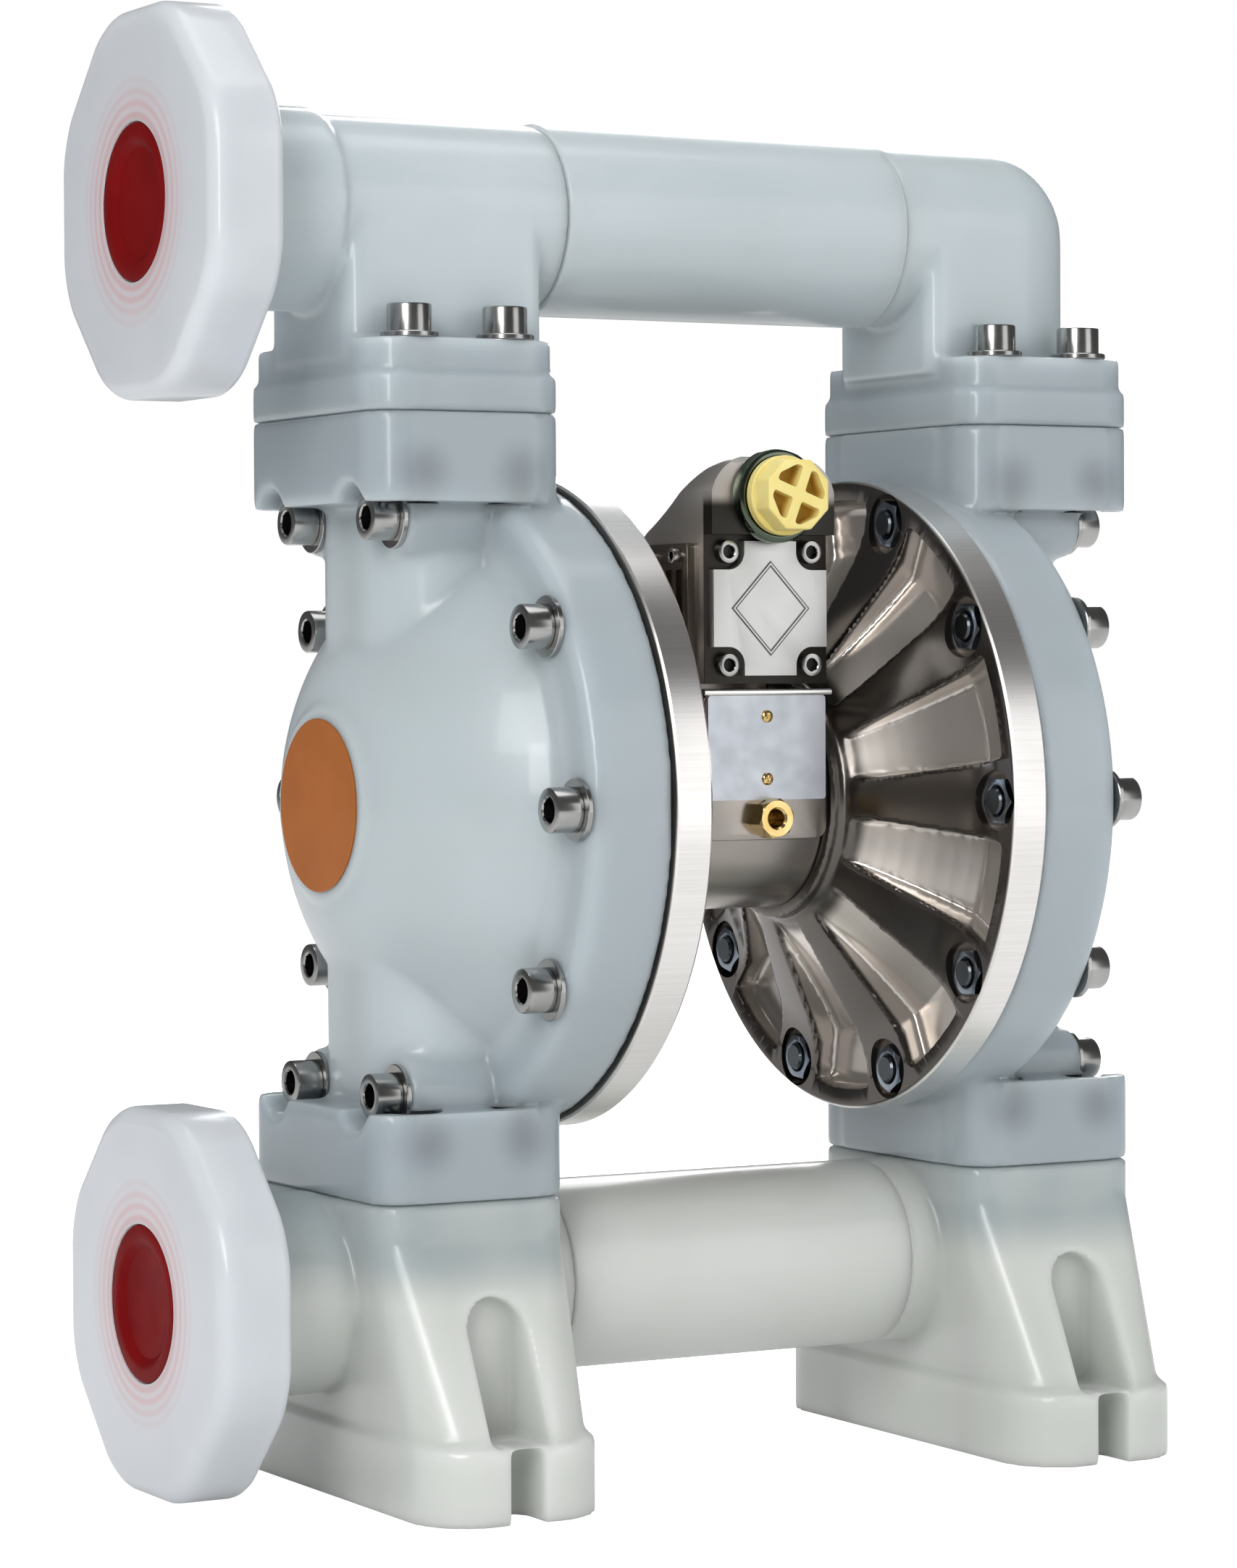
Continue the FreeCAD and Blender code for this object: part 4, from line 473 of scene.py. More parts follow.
finishes = {
    # the third colour of each milky plastic is painted shade for thick plastic
    "milky": milkyPlastic("milkyPlastic", (0.58, 0.64, 0.68), (0.50, 0.56, 0.585), (0.34, 0.39, 0.42)),
    "warm": milkyPlastic("warmPlastic", (0.70, 0.715, 0.69), (0.60, 0.62, 0.59), (0.37, 0.42, 0.43)),
    # the third colour of the port plastic is the painted pink glow of the red plugs
    "port": portPlastic("portPlastic", (0.63, 0.66, 0.70), (0.57, 0.60, 0.63), (0.62, 0.30, 0.31)),
    "casting": platedCasting("nickelCasting", (0.13, 0.118, 0.108), (0.54, 0.50, 0.46)),
    "bodyCast": platedCasting("bodyCasting", (0.32, 0.295, 0.27), (0.42, 0.39, 0.36)),
    # the valve casting's second colour is painted shade for its front
    "valveCast": valveCasting("valveCasting", (0.46, 0.43, 0.40), (0.035, 0.033, 0.028)),
    "ringCast": plainMetal("inletRingCasting", (0.09, 0.115, 0.085), (0.15, 0.175, 0.135), 0.12, 0.17, 40.0),
    # painted shade inside the screw sockets: the same steel, near black
    "socket": plainMetal("socketShadeSteel", (0.030, 0.030, 0.030), (0.05, 0.05, 0.05), 0.40, 0.50, 60.0),
    "facePlate": facePlateMetal("facePlateMetal", (0.70, 0.70, 0.69), (0.75, 0.75, 0.74), (0.10, 0.10, 0.10)),
    "darkCast": plainMetal("darkCasting", (0.13, 0.11, 0.09), (0.19, 0.165, 0.14), 0.28, 0.34, 40.0),
    "valvePlate": plainMetal("valvePlateMetal", (0.50, 0.48, 0.44), (0.66, 0.64, 0.60), 0.28, 0.36, 40.0),
    "steel": boltSteel("boltSteel", (0.36, 0.36, 0.35), (0.46, 0.46, 0.45), (0.09, 0.10, 0.11)),
    "nut": plainMetal("nutSteel", (0.20, 0.23, 0.28), (0.30, 0.34, 0.39), 0.21, 0.26, 60.0),
    "red": plainPlastic("redPlastic", (0.155, 0.002, 0.003), (0.185, 0.003, 0.004), 0.45, 0.55, 0.0, 0.06),
    # the yellow plug's third colour is painted shade in its pockets
    "yellow": plugPlastic("yellowPlastic", (0.80, 0.66, 0.21), (0.87, 0.75, 0.30), (0.60, 0.37, 0.06)),
    "brass": plainMetal("brassMetal", (0.62, 0.42, 0.14), (0.78, 0.58, 0.26), 0.16, 0.26, 90.0),
    "orange": plainPlastic("orangeLabel", (0.36, 0.105, 0.014), (0.41, 0.12, 0.018), 0.35, 0.45, 0.05, 0.3),
    "plate": plainMetal("dataPlateMetal", (0.53, 0.56, 0.61), (0.59, 0.62, 0.67), 0.34, 0.42, 70.0),
    "rubber": plainPlastic("blackRubber", (0.02, 0.02, 0.02), (0.04, 0.04, 0.04), 0.5, 0.65, 0.0),
    "dark": plainPlastic("silencerPlastic", (0.03, 0.03, 0.03), (0.06, 0.06, 0.06), 0.45, 0.6, 0.0),
    "bronze": plainMetal("bushBronze", (0.42, 0.28, 0.14), (0.56, 0.40, 0.22), 0.3, 0.45, 90.0),
}
nodesOfFinish = {
    "milky": ("fluid_cover", "discharge_tee", "discharge_elbow", "discharge_pipe"),
    "warm": ("suction_tee", "suction_elbow", "suction_pipe", "suction_seats", "discharge_seats",
             "outer_plate"),
    "port": ("discharge_port_flange", "suction_port_flange"),
    "casting": ("air_chamber",), "bodyCast": ("centre_body",), "valveCast": ("air_valve_body",),
    "facePlate": ("valve_face_plate",), "darkCast": ("valve_side_cap",), "ringCast": ("air_inlet_ring",),
    "steel": ("cover_bolts", "cover_washers", "manifold_bolts", "manifold_washers", "face_plate_screws",
              "side_cap_screws", "shaft", "valve_spool"),
    "nut": ("cover_nuts", "manifold_nuts"), "red": ("discharge_port_plug", "suction_port_plug"),
    "yellow": ("air_inlet_plug",), "brass": ("drain_fitting", "data_plate_screws"), "plate": ("data_plate",),
    "orange": ("cover_label",), "rubber": ("diaphragm", "suction_ball", "discharge_ball"),
    "valvePlate": ("inner_plate",), "bronze": ("shaft_bush",), "dark": ("exhaust_silencer",),
}


def finishFor(node):
    # The finish whose entry fits the most of the node's name
    fitting = [(len(start), finish) for finish, starts in nodesOfFinish.items()
               for start in starts if node.startswith(start)]
    return finishes[max(fitting)[1]]


for name, node in cadNodes.items():
    node.data.materials.clear()
    node.data.materials.append(finishFor(name))
print("materials ready")


# Shapes that the pieces start from; lengths in millimetres become metres through mm

mm = 0.001
alongX, alongY, alongZ = Vector((1, 0, 0)), Vector((0, 1, 0)), Vector((0, 0, 1))
shaftCentre = Vector((0, 0, shaftHeight))


def point(x, y, z):  # millimetres from the pump's centre
    return Vector((x * mm, y * mm, z * mm)) + shaftCentre


def cleaned(shell):
    bmesh.ops.remove_doubles(shell, verts=shell.verts, dist=1e-6)
    bmesh.ops.recalc_face_normals(shell, faces=shell.faces)
    return shell


def spun(profile, axis=alongX, centre=shaftCentre, steps=96, closed=False):
    # profile holds (along the axis, radius) in millimetres
    shell = bmesh.new()
    side = alongZ if abs(axis.z) < 0.5 else alongX
    corners = [shell.verts.new(centre + axis * (along * mm) + side * (radius * mm))
               for along, radius in profile]
    edges = [shell.edges.new(pair) for pair in zip(corners, corners[1:])]
    if closed:
        edges.append(shell.edges.new((corners[-1], corners[0])))
    bmesh.ops.spin(shell, geom=corners + edges, cent=centre, axis=axis, angle=math.tau, steps=steps,
                   use_merge=True)
    return cleaned(shell)


def lathe(profile, steps=40, closed=False):
    # A template on the origin that stands on z = 0
    return spun(profile, alongZ, Vector((0, 0, 0)), steps, closed)


def stepped(end, *steps, way=1):
    # Profile of a solid bar whose radii each start at a place along it
    profile = []
    for (start, radius), (reach, following) in zip(steps, steps[1:] + ((end, 0),)):
        profile += [(way * start, radius), (way * reach, radius)]
    return [(way * steps[0][0], 0)] + profile + [(way * end, 0)]


def bevelled(shell, edges, width, segments, clamp=False):
    bmesh.ops.bevel(shell, geom=edges, offset=width * mm, offset_type="OFFSET", affect="EDGES",
                    segments=segments, profile=0.5, material=-1, clamp_overlap=clamp)
    return shell


def roundAlong(shell, axis, corner, side=None, segments=8):
    # Rounds the edges that run along the axis: all of them, or those on one side of the middle
    reach = [0 if side is None else vert.co.dot(side) for vert in shell.verts]
    middle = (min(reach) + max(reach)) / 2
    chosen = []
    for edge in shell.edges:
        first, last = (vert.co for vert in edge.verts)
        kept = side is None or (first + last).dot(side) / 2 > middle
        if kept and abs((last - first).normalized().dot(axis)) > 0.999:
            chosen.append(edge)
    return bevelled(shell, chosen, corner, segments)


def softEdges(shell, width, angle=30, segments=3):
    chosen = [edge for edge in shell.edges
              if edge.is_manifold and edge.calc_face_angle() > math.radians(angle)]
    return bevelled(shell, chosen, width, segments, True)


def rimEdges(shell, axis, place):
    # The edges that lie in one plane across the axis
    return [edge for edge in shell.edges
            if all(abs((vert.co - shaftCentre).dot(axis) - place * mm) < 1e-5 for vert in edge.verts)]


def block(first, second, axis, corner, side=None, segments=8):
    # A box between two opposite corners whose edges along the axis are rounded
    shell = bmesh.new()
    bmesh.ops.create_cube(shell, size=1.0)
    low = Vector([min(pair) for pair in zip(first, second)]) * mm + shaftCentre
    high = Vector([max(pair) for pair in zip(first, second)]) * mm + shaftCentre
    bmesh.ops.scale(shell, vec=high - low, verts=shell.verts)
    bmesh.ops.translate(shell, vec=(low + high) / 2, verts=shell.verts)
    return roundAlong(shell, axis, corner, side, segments)


def rod(axis, start, end, across, up, radius, segments=96, radiusEnd=None):
    # A bar along X at (y, z) or along Y at (x, z)
    first, last = ((point(reach, across, up) if axis == alongX else point(across, reach, up))
                   for reach in (start, end))
    shell = bmesh.new()
    run = last - first
    bmesh.ops.create_cone(shell, cap_ends=True, segments=segments, radius1=radius * mm,
                          radius2=(radiusEnd or radius) * mm, depth=run.length)
    turn = run.to_track_quat("Z", "Y").to_matrix().to_4x4()
    bmesh.ops.transform(shell, matrix=Matrix.Translation((first + last) / 2) @ turn, verts=shell.verts)
    return shell


def turnedAbout(shell, middle, angle, axis):
    turn = Matrix.Translation(middle) @ Matrix.Rotation(angle, 4, axis) @ Matrix.Translation(-middle)
    bmesh.ops.transform(shell, matrix=turn, verts=shell.verts)
    return shell


def extruded(corners, axis, low, high):
    # corners are (across, up) in millimetres: (y, z) for the X axis, (x, z) for the Y axis
    shell = bmesh.new()
    places = [point(low, across, up) if axis == alongX else point(across, low, up) for across, up in corners]
    face = shell.faces.new([shell.verts.new(place) for place in places])
    made = bmesh.ops.extrude_face_region(shell, geom=[face])
    moved = [item for item in made["geom"] if isinstance(item, bmesh.types.BMVert)]
    bmesh.ops.translate(shell, vec=axis * ((high - low) * mm), verts=moved)
    bmesh.ops.recalc_face_normals(shell, faces=shell.faces)
    return shell


def joined(*shells):
    whole = bmesh.new()
    for shell in shells:
        carrier = bpy.data.meshes.new("carrier")
        shell.to_mesh(carrier)
        shell.free()
        whole.from_mesh(carrier)
        bpy.data.meshes.remove(carrier)
    return whole


def hull(*shells):
    whole = joined(*shells)
    made = bmesh.ops.convex_hull(whole, input=whole.verts)
    spare = {item for item in made["geom_interior"] + made["geom_unused"]
             if isinstance(item, bmesh.types.BMVert)}
    bmesh.ops.delete(whole, geom=list(spare), context="VERTS")
    bmesh.ops.recalc_face_normals(whole, faces=whole.faces)
    return whole


def arcPoints(start, end, bend, count):
    # Places on the arc from start to end; a positive bend bulges to the left of the way
    first, last = Vector(start), Vector(end)
    chord = last - first
    side = Vector((-chord.y, chord.x)).normalized() * (1 if bend > 0 else -1)
    centre = (first + last) / 2 - side * math.sqrt(bend * bend - chord.length_squared / 4)
    begin, finish = (math.atan2(place.y - centre.y, place.x - centre.x) for place in (first, last))
    sweep = (finish - begin + math.pi) % math.tau - math.pi
    angles = [begin + sweep * index / count for index in range(1, count)]
    return [(centre.x + abs(bend) * math.cos(angle), centre.y + abs(bend) * math.sin(angle))
            for angle in angles]


# Turning shells into objects

def linked(name, mesh):
    made = bpy.data.objects.new(name, mesh)
    bpy.context.scene.collection.objects.link(made)
    return made


def meshObject(name, shell):
    mesh = bpy.data.meshes.new(name)
    shell.to_mesh(mesh)
    shell.free()
    return linked(name, mesh)


def discard(*pieces):
    for piece in pieces:
        mesh = piece.data
        bpy.data.objects.remove(piece)
        if mesh.users == 0:
            bpy.data.meshes.remove(mesh)


def shellOf(piece):
    shell = bmesh.new()
    shell.from_mesh(piece.data)
    discard(piece)
    return shell


def flattened(piece):
    # The piece as a shell whose flat faces are whole again after a cut
    shell = shellOf(piece)
    bmesh.ops.remove_doubles(shell, verts=shell.verts, dist=1e-5)
    bmesh.ops.dissolve_limit(shell, angle_limit=math.radians(1), verts=shell.verts, edges=shell.edges)
    return shell


def baked(piece, name):
    # The piece with its modifiers applied, as a new object
    bpy.context.view_layer.update()
    graph = bpy.context.evaluated_depsgraph_get()
    made = linked(name, bpy.data.meshes.new_from_object(piece.evaluated_get(graph), depsgraph=graph))
    discard(piece)
    return made


def cut(piece, tool, operation="DIFFERENCE"):
    knife = piece.modifiers.new("cut", "BOOLEAN")
    knife.operation = operation
    knife.solver = "MANIFOLD"
    knife.object = tool


def shaped(name, shell, *tools, added=(), operation="DIFFERENCE"):
    # The shell fused with what is added and then cut by the tools, one after the other
    piece = meshObject(name + "Raw", shell)
    steps = [(part, "UNION") for part in added] + [(tool, operation) for tool in tools]
    carriers = []
    for part, step in steps:
        carriers.append(meshObject(name + "Tool", part))
        cut(piece, carriers[-1], step)
    made = baked(piece, name)
    discard(*carriers)
    return made


def melt(piece, voxel):
    fuse = piece.modifiers.new("melt", "REMESH")
    fuse.mode = "VOXEL"
    fuse.voxel_size = voxel * mm


def moulded(name, shells, sizes, softTool=None, crispTools=()):
    # Fuses overlapping closed shells into one moulding with soft edges and fillets
    piece = meshObject(name + "Raw", joined(*shells))
    tools = [meshObject(name + "Tool", tool) for tool in crispTools]
    melt(piece, sizes["voxel"])
    if softTool is not None:
        tools.append(meshObject(name + "SoftTool", softTool))
        cut(piece, tools[-1])
        melt(piece, sizes["voxel"])
    soft = piece.modifiers.new("soften", "SMOOTH")
    soft.factor = 0.5
    soft.iterations = sizes["softening"]
    if "share" in sizes:
        thin = piece.modifiers.new("thin", "DECIMATE")
        thin.ratio = sizes["share"]
    for tool in tools[:len(crispTools)]:
        cut(piece, tool)
    made = baked(piece, name)
    discard(*tools)
    return made


def turnedCopy(piece, name):
    # The same shape on the other side of the pump: half a turn about the upright axis
    mesh = piece.data.copy()
    mesh.transform(Matrix.Rotation(math.pi, 4, "Z"))
    return linked(name, mesh)


sharpAngle = math.radians(32)


def dress(piece, node, body="base"):
    # The finish of its node, the body it rides on and the CAD node it stands for
    mesh, finish = piece.data, finishFor(node)
    if mesh.materials:
        mesh.materials.clear()
    mesh.materials.append(finish)
    # steel pieces also take the socket finish, painted shade inside their sockets
    if finish == finishes["steel"]:
        mesh.materials.append(finishes["socket"])
    mesh.shade_smooth()
    mesh.set_sharp_from_angle(angle=sharpAngle)
    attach(piece, body)
    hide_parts(node)


# Fluid covers: dome, two necks and their flanges in one moulding

coverSizes = {
    "face": 77.7, "seat": 109.7, "rimRadius": 118.5, "rimRounding": 5.0,
    "domeFoot": 95.0, "domeTop": 157.8, "domeStep": 2.5, "domeTopRadius": 36.0, "domeArc": 105.0,
    "wall": 8.0, "neckInner": 84.0, "neckOuter": 146.0, "neckHalfWidth": 40.0,
    "neckOuterCorner": 27.0, "neckInnerCorner": 6.0, "highSeat": 142.9, "bossRadius": 12.5,
    "seam": 140.0, "flangeStart": 108.0, "throatRadius": 21.0, "throatPlace": 121.0, "throatEnd": 57.0,
    "seatRadius": 24.15, "seatDepth": 3.0, "nestRadius": 10.0, "nestDepth": 14.0, "spotRadius": 12.0,
    "voxel": 1.5, "softening": 7,
}
flangeSizes = {
    "centre": 123.4, "halfDepth": 38.5, "halfWidth": 57.0, "corner": 14.0,
    "boltDepth": 19.0, "boltWidth": 44.5, "lip": 1.5,
}
boltRing = {"radius": 108.0, "count": 10, "bore": 5.4}


def ringPlaces():
    # (y, z) of the cover bolts round the shaft and whether each passes through a neck
    places = []
    for index in range(boltRing["count"]):
        angle = math.tau * index / boltRing["count"]
        y = -boltRing["radius"] * math.cos(angle)
        z = boltRing["radius"] * math.sin(angle)
        places.append((y, z, abs(y) < coverSizes["neckHalfWidth"]))
    return places


def flangeBlock(low, high, inset=0.0):
    f = flangeSizes
    depth, width = f["halfDepth"] - inset, f["halfWidth"] - inset
    return block((f["centre"] - depth, -width, low), (f["centre"] + depth, width, high), alongZ, f["corner"])


def flangeSpots():
    f = flangeSizes
    return [(f["centre"] + depth, width) for depth in (-f["boltDepth"], f["boltDepth"])
            for width in (-f["boltWidth"], f["boltWidth"])]


def buildCover(name):
    c = coverSizes
    face, seat, rim, rounding = c["face"], c["seat"], c["rimRadius"], c["rimRounding"]
    foot = (seat, c["domeFoot"])
    crown = (c["domeTop"] - c["domeStep"], c["domeTopRadius"] + 1)
    outside = [(face, 0), (face, rim), (seat - rounding, rim)]
    outside += arcPoints(outside[-1], (seat, rim - rounding), rounding, 5)
    outside += [(seat, rim - rounding), foot] + arcPoints(foot, crown, c["domeArc"], 14)
    outside += [crown, (c["domeTop"], c["domeTopRadius"] - 1), (c["domeTop"], 0)]
    neck = block((c["neckInner"], -c["neckHalfWidth"], -c["seam"]),
                 (c["neckOuter"], c["neckHalfWidth"], c["seam"]), alongZ, c["neckInnerCorner"], -alongX)
    roundAlong(neck, alongZ, c["neckOuterCorner"], alongX)
    shells = [spun(outside, steps=160), neck]
    shells += [flangeBlock(level * c["flangeStart"], level * c["seam"]) for level in (-1, 1)]
    cavityFoot = (seat - c["wall"], c["domeFoot"] - c["wall"] * 0.4)
    cavityTop = (crown[0] - c["wall"], c["domeTopRadius"] - c["wall"] / 2)
    cavity = [(face - 2, 0), (face - 2, cavityFoot[1]), cavityFoot]
    cavity += arcPoints(cavityFoot, cavityTop, c["domeArc"] - c["wall"], 14)
    cavity += [cavityTop, (cavityTop[0], 0)]
    bores, spots, nests, throats = [], [], [], []
    for y, z, high in ringPlaces():
        top = c["highSeat"] if high else seat
        bores.append(rod(alongX, face - 1, top + 40, y, z, boltRing["bore"], 32))
        if high:
            shells.append(rod(alongX, c["neckInner"], top, y, z, c["bossRadius"]))
            spots.append(rod(alongX, top, top + 30, y, z, c["spotRadius"]))
    for level in (-1, 1):
        end = c["seam"] + 1
        nest = stepped(end, (c["flangeStart"] - 0.5, c["nestRadius"]),
                       (c["flangeStart"] + c["nestDepth"], boltRing["bore"]), way=level)
        nests += [spun(nest, alongZ, point(x, y, 0), 40) for x, y in flangeSpots()]
        throat = stepped(end, (c["throatEnd"], c["throatRadius"]),
                         (c["seam"] - c["seatDepth"], c["seatRadius"]), way=level)
        throats.append(spun(throat, alongZ, point(c["throatPlace"], 0, 0), 64))
    crisp = [joined(*bores), joined(*nests), spun(cavity, steps=96), joined(*throats)]
    return moulded(name, shells, c, joined(*spots), crisp)


# Manifolds: tees on the port side, elbows on the other, upper and lower

manifoldSizes = {
    "seam": coverSizes["seam"], "flangeHeight": 26.0, "upperPipe": 214.1, "lowerPipe": 175.5,
    "pipeRadius": 34.2, "sleeveRadius": 35.2, "sleeveEdge": 0.5, "sleeveEnd": 72.0, "bore": 25.0,
    "hubRadius": 36.6, "hubStart": 162.4, "portBack": 201.0, "branchHalfWidth": 34.2,
    "branchInner": 82.5, "branchOuter": 161.0, "branchFoot": 160.0, "branchCorner": 6.0,
    "washerSpot": 10.9, "headRoom": 13.0, "voxel": 1.4, "softening": 6,
}
footSizes = {
    "floor": 249.0, "thickness": 27.0, "halfDepth": 35.5, "halfWidth": 95.0, "corner": 24.0,
    "legDepth": 33.8, "legWidth": 91.0, "topDepth": 38.0, "topWidth": 57.0, "toolEnd": 100.0,
    "slotHalfWidth": 6.5, "slotTip": 73.5, "archHalfWidth": 11.5, "archTop": 173.0, "archBack": 60.0,
}


def waterWays(height, end, down=1):
    # Crisp cuts: the bolt holes and the spots of the heads, the pipe bore, the cage and seat recess
    m, c = manifoldSizes, coverSizes
    low, top = m["seam"] - 1, m["seam"] + m["flangeHeight"]
    reach = top + m["headRoom"] if down > 0 else footSizes["floor"] + 1
    hole = stepped(reach, (low, boltRing["bore"]), (top, m["washerSpot"]), way=down)
    cage = stepped(height, (low, c["seatRadius"]), (m["seam"] + c["seatDepth"], c["throatRadius"]), way=down)
    screws = [spun(hole, alongZ, point(x, y, 0), 40) for x, y in flangeSpots()]
    pipe = rod(alongX, m["sleeveEnd"] - 1, end + 1, 0, down * height, m["bore"], 64)
    return [joined(*screws), pipe, spun(cage, alongZ, point(c["throatPlace"], 0, 0), 64)]


def branchFlange(down=1):
    m = manifoldSizes
    top = m["seam"] + m["flangeHeight"]
    middle = (m["seam"] + top) / 2
    return [flangeBlock(down * m["seam"], down * middle),
            flangeBlock(down * (middle - 0.5), down * top, flangeSizes["lip"])]


def buildBranch(name, isTee):
    # Upper manifold: a tee that ends in the hub of its port, or an elbow with a round corner
    m = manifoldSizes
    height, half = m["upperPipe"], m["branchHalfWidth"]
    end = m["portBack"] if isTee else flangeSizes["centre"]
    outer = m["branchOuter"] if isTee else end + half
    branch = block((m["branchInner"], -half, m["branchFoot"]), (outer, half, height), alongZ,
                   m["branchCorner"], None if isTee else -alongX)
    shells = branchFlange() + [branch, rod(alongX, m["sleeveEnd"], end, 0, height, m["pipeRadius"])]
    if isTee:
        shells.append(rod(alongX, m["hubStart"], end, 0, height, m["hubRadius"]))
    else:
        roundAlong(branch, alongZ, half - 0.3, alongX, 12)
        corner = bmesh.new()
        bmesh.ops.create_uvsphere(corner, u_segments=96, v_segments=48, radius=m["pipeRadius"] * mm)
        bmesh.ops.translate(corner, vec=point(end, 0, height), verts=corner.verts)
        shells.append(corner)
    return moulded(name, shells, m, None, waterWays(height, end))


def legPlan(halfDepth, halfWidth, corner, low, high):
    middle = flangeSizes["centre"]
    return block((middle - halfDepth, -halfWidth, low), (middle + halfDepth, halfWidth, high),
                 alongZ, corner, segments=12)


def buildFoot(name, isTee):
    # Lower manifold on its foot, with an arch and a slot at either end
    m, g, f = manifoldSizes, footSizes, flangeSizes
    legTop = -(m["seam"] + m["flangeHeight"] / 2)
    footTop = g["thickness"] - g["floor"]
    height = -m["lowerPipe"]
    end = m["portBack"] if isTee else f["centre"]
    leg = hull(legPlan(g["topDepth"], g["topWidth"], f["corner"], legTop - 0.5, legTop),
               legPlan(g["legDepth"], g["legWidth"], g["corner"], footTop - 1, footTop))
    shells = [branchFlange(-1)[0], leg,
              legPlan(g["halfDepth"], g["halfWidth"], g["corner"], -g["floor"], footTop),
              rod(alongX, m["sleeveEnd"], end, 0, height, m["sleeveRadius"])]
    if isTee:
        shells.append(rod(alongX, m["hubStart"], end, 0, height, m["hubRadius"]))
    arches, slots = [], []
    for way in (-1, 1):
        half = g["archHalfWidth"]
        arches.append(block((f["centre"] - half, way * g["archBack"], footTop - 0.5),
                            (f["centre"] + half, way * g["toolEnd"], -g["archTop"]),
                            alongY, half - 0.05, alongZ, 12))
        half = g["slotHalfWidth"]
        slots.append(block((f["centre"] - half, way * g["slotTip"], -g["floor"] - 1),
                           (f["centre"] + half, way * g["toolEnd"], footTop + 0.5),
                           alongZ, half - 0.05, alongY * -way, 12))
    return moulded(name, shells, m, joined(*arches, *slots), waterWays(m["lowerPipe"], end, -1))


def buildPipe(name, height):
    m = manifoldSizes
    end, radius, edge = m["sleeveEnd"], m["sleeveRadius"], m["sleeveEdge"]
    profile = [(-end, m["bore"]), (-end, radius - edge), (edge - end, radius)]
    profile += [(-along, reach) for along, reach in reversed(profile)]
    return meshObject(name, spun(profile, alongX, point(0, 0, height), 128, True))


# Port flanges: eight sides, rounded corners, a bore for the plug

portSizes = {
    "back": manifoldSizes["portBack"], "thickness": 27.6, "apothem": 69.0, "sides": 8, "corner": 14.0,
    "edge": 6.0, "rearEdge": 3.6, "recess": 28.4, "recessDepth": 4.0, "thread": 24.0,
    "plugSunk": 0.2, "plugGap": 0.35, "plugRim": 3.4, "plugStem": 23.6, "plugEnd": 17.5,
    "plugBore": 21.3, "plugFloor": 5.0,
}


def buildPortFlange(name, height):
    p = portSizes
    front, part, middle = p["back"] + p["thickness"], math.pi / p["sides"], point(0, 0, height)
    shell = rod(alongX, -p["back"], -front, 0, height, p["apothem"] / math.cos(part), p["sides"])
    roundAlong(turnedAbout(shell, middle, part, "X"), alongX, p["corner"], None, 10)
    for place, width, segments in ((front, p["edge"], 6), (p["back"], p["rearEdge"], 4)):
        bevelled(shell, rimEdges(shell, alongX, -place), width, segments)
    bore = stepped(p["back"] - 1, (front + 1, p["recess"]), (front - p["recessDepth"], p["thread"]), way=-1)
    return shaped(name, shell, spun(bore, alongX, middle, 96))


def buildPortPlug(name, height):
    # Thin red cup: a rim over the recess, a sunk face and a short stem behind it
    p = portSizes
    front, rim, stem = p["back"] + p["thickness"] - p["plugSunk"], p["recess"] - p["plugGap"], p["plugStem"]
    face = [(3.0, 0), (2.6, 14.0), (2.2, 19.5), (0.7, 21.5), (0.1, 22.6), (0, stem), (0, rim - 0.7)]
    cup = [(0.25, rim - 0.2), (0.8, rim), (p["plugRim"], rim), (p["plugRim"], stem), (p["plugEnd"], stem),
           (p["plugEnd"], p["plugBore"]), (p["plugFloor"], p["plugBore"]), (p["plugFloor"], 0)]
    profile = [(depth - front, radius) for depth, radius in face + cup]
    return meshObject(name, spun(profile, alongX, point(0, 0, height), 128))


# Air chambers: plated castings, ten petals with scooped pockets between them, a machined rim

chamberSizes = {
    "hubFace": 30.0, "collarRadius": 46.0, "collarWidth": 6.0, "bush": 14.3,
    "rimFace": 62.5, "rimRadius": 120.0, "rimThickness": 14.8, "rimEdge": 1.2,
    "petalEnd": 98.0, "petalBlend": 46.0, "grown": 0.8, "proud": 0.3,
    "dishFloor": 37.5, "dishFloorRadius": 41.0, "dishRimRadius": 91.0, "dishRimDepth": 2.0,
    "pocketAngle": math.radians(20.0), "pocketDepth": 8.5, "pocketStart": 48.5, "pocketHubDepth": 2.0,
    "pocketKnee": 92.0, "pocketEnd": 112.5, "pocketRounding": 5.0,
    "scoopBend": 260.0, "nutSpot": 11.4, "nutDepth": 7.7, "voxel": 1.1, "softening": 3, "share": 0.55,
}


def wedge(profile, angle, centreAngle):
    # A closed solid swept by part of a turn about the shaft axis
    shell = bmesh.new()
    start = centreAngle - angle / 2
    side = alongZ * math.cos(start) - alongY * math.sin(start)
    corners = [shell.verts.new(shaftCentre + alongX * (along * mm) + side * (radius * mm))
               for along, radius in profile]
    face = shell.faces.new(corners)
    bmesh.ops.spin(shell, geom=corners + list(face.edges) + [face], cent=shaftCentre, axis=alongX,
                   angle=angle, steps=10)
    return cleaned(shell)


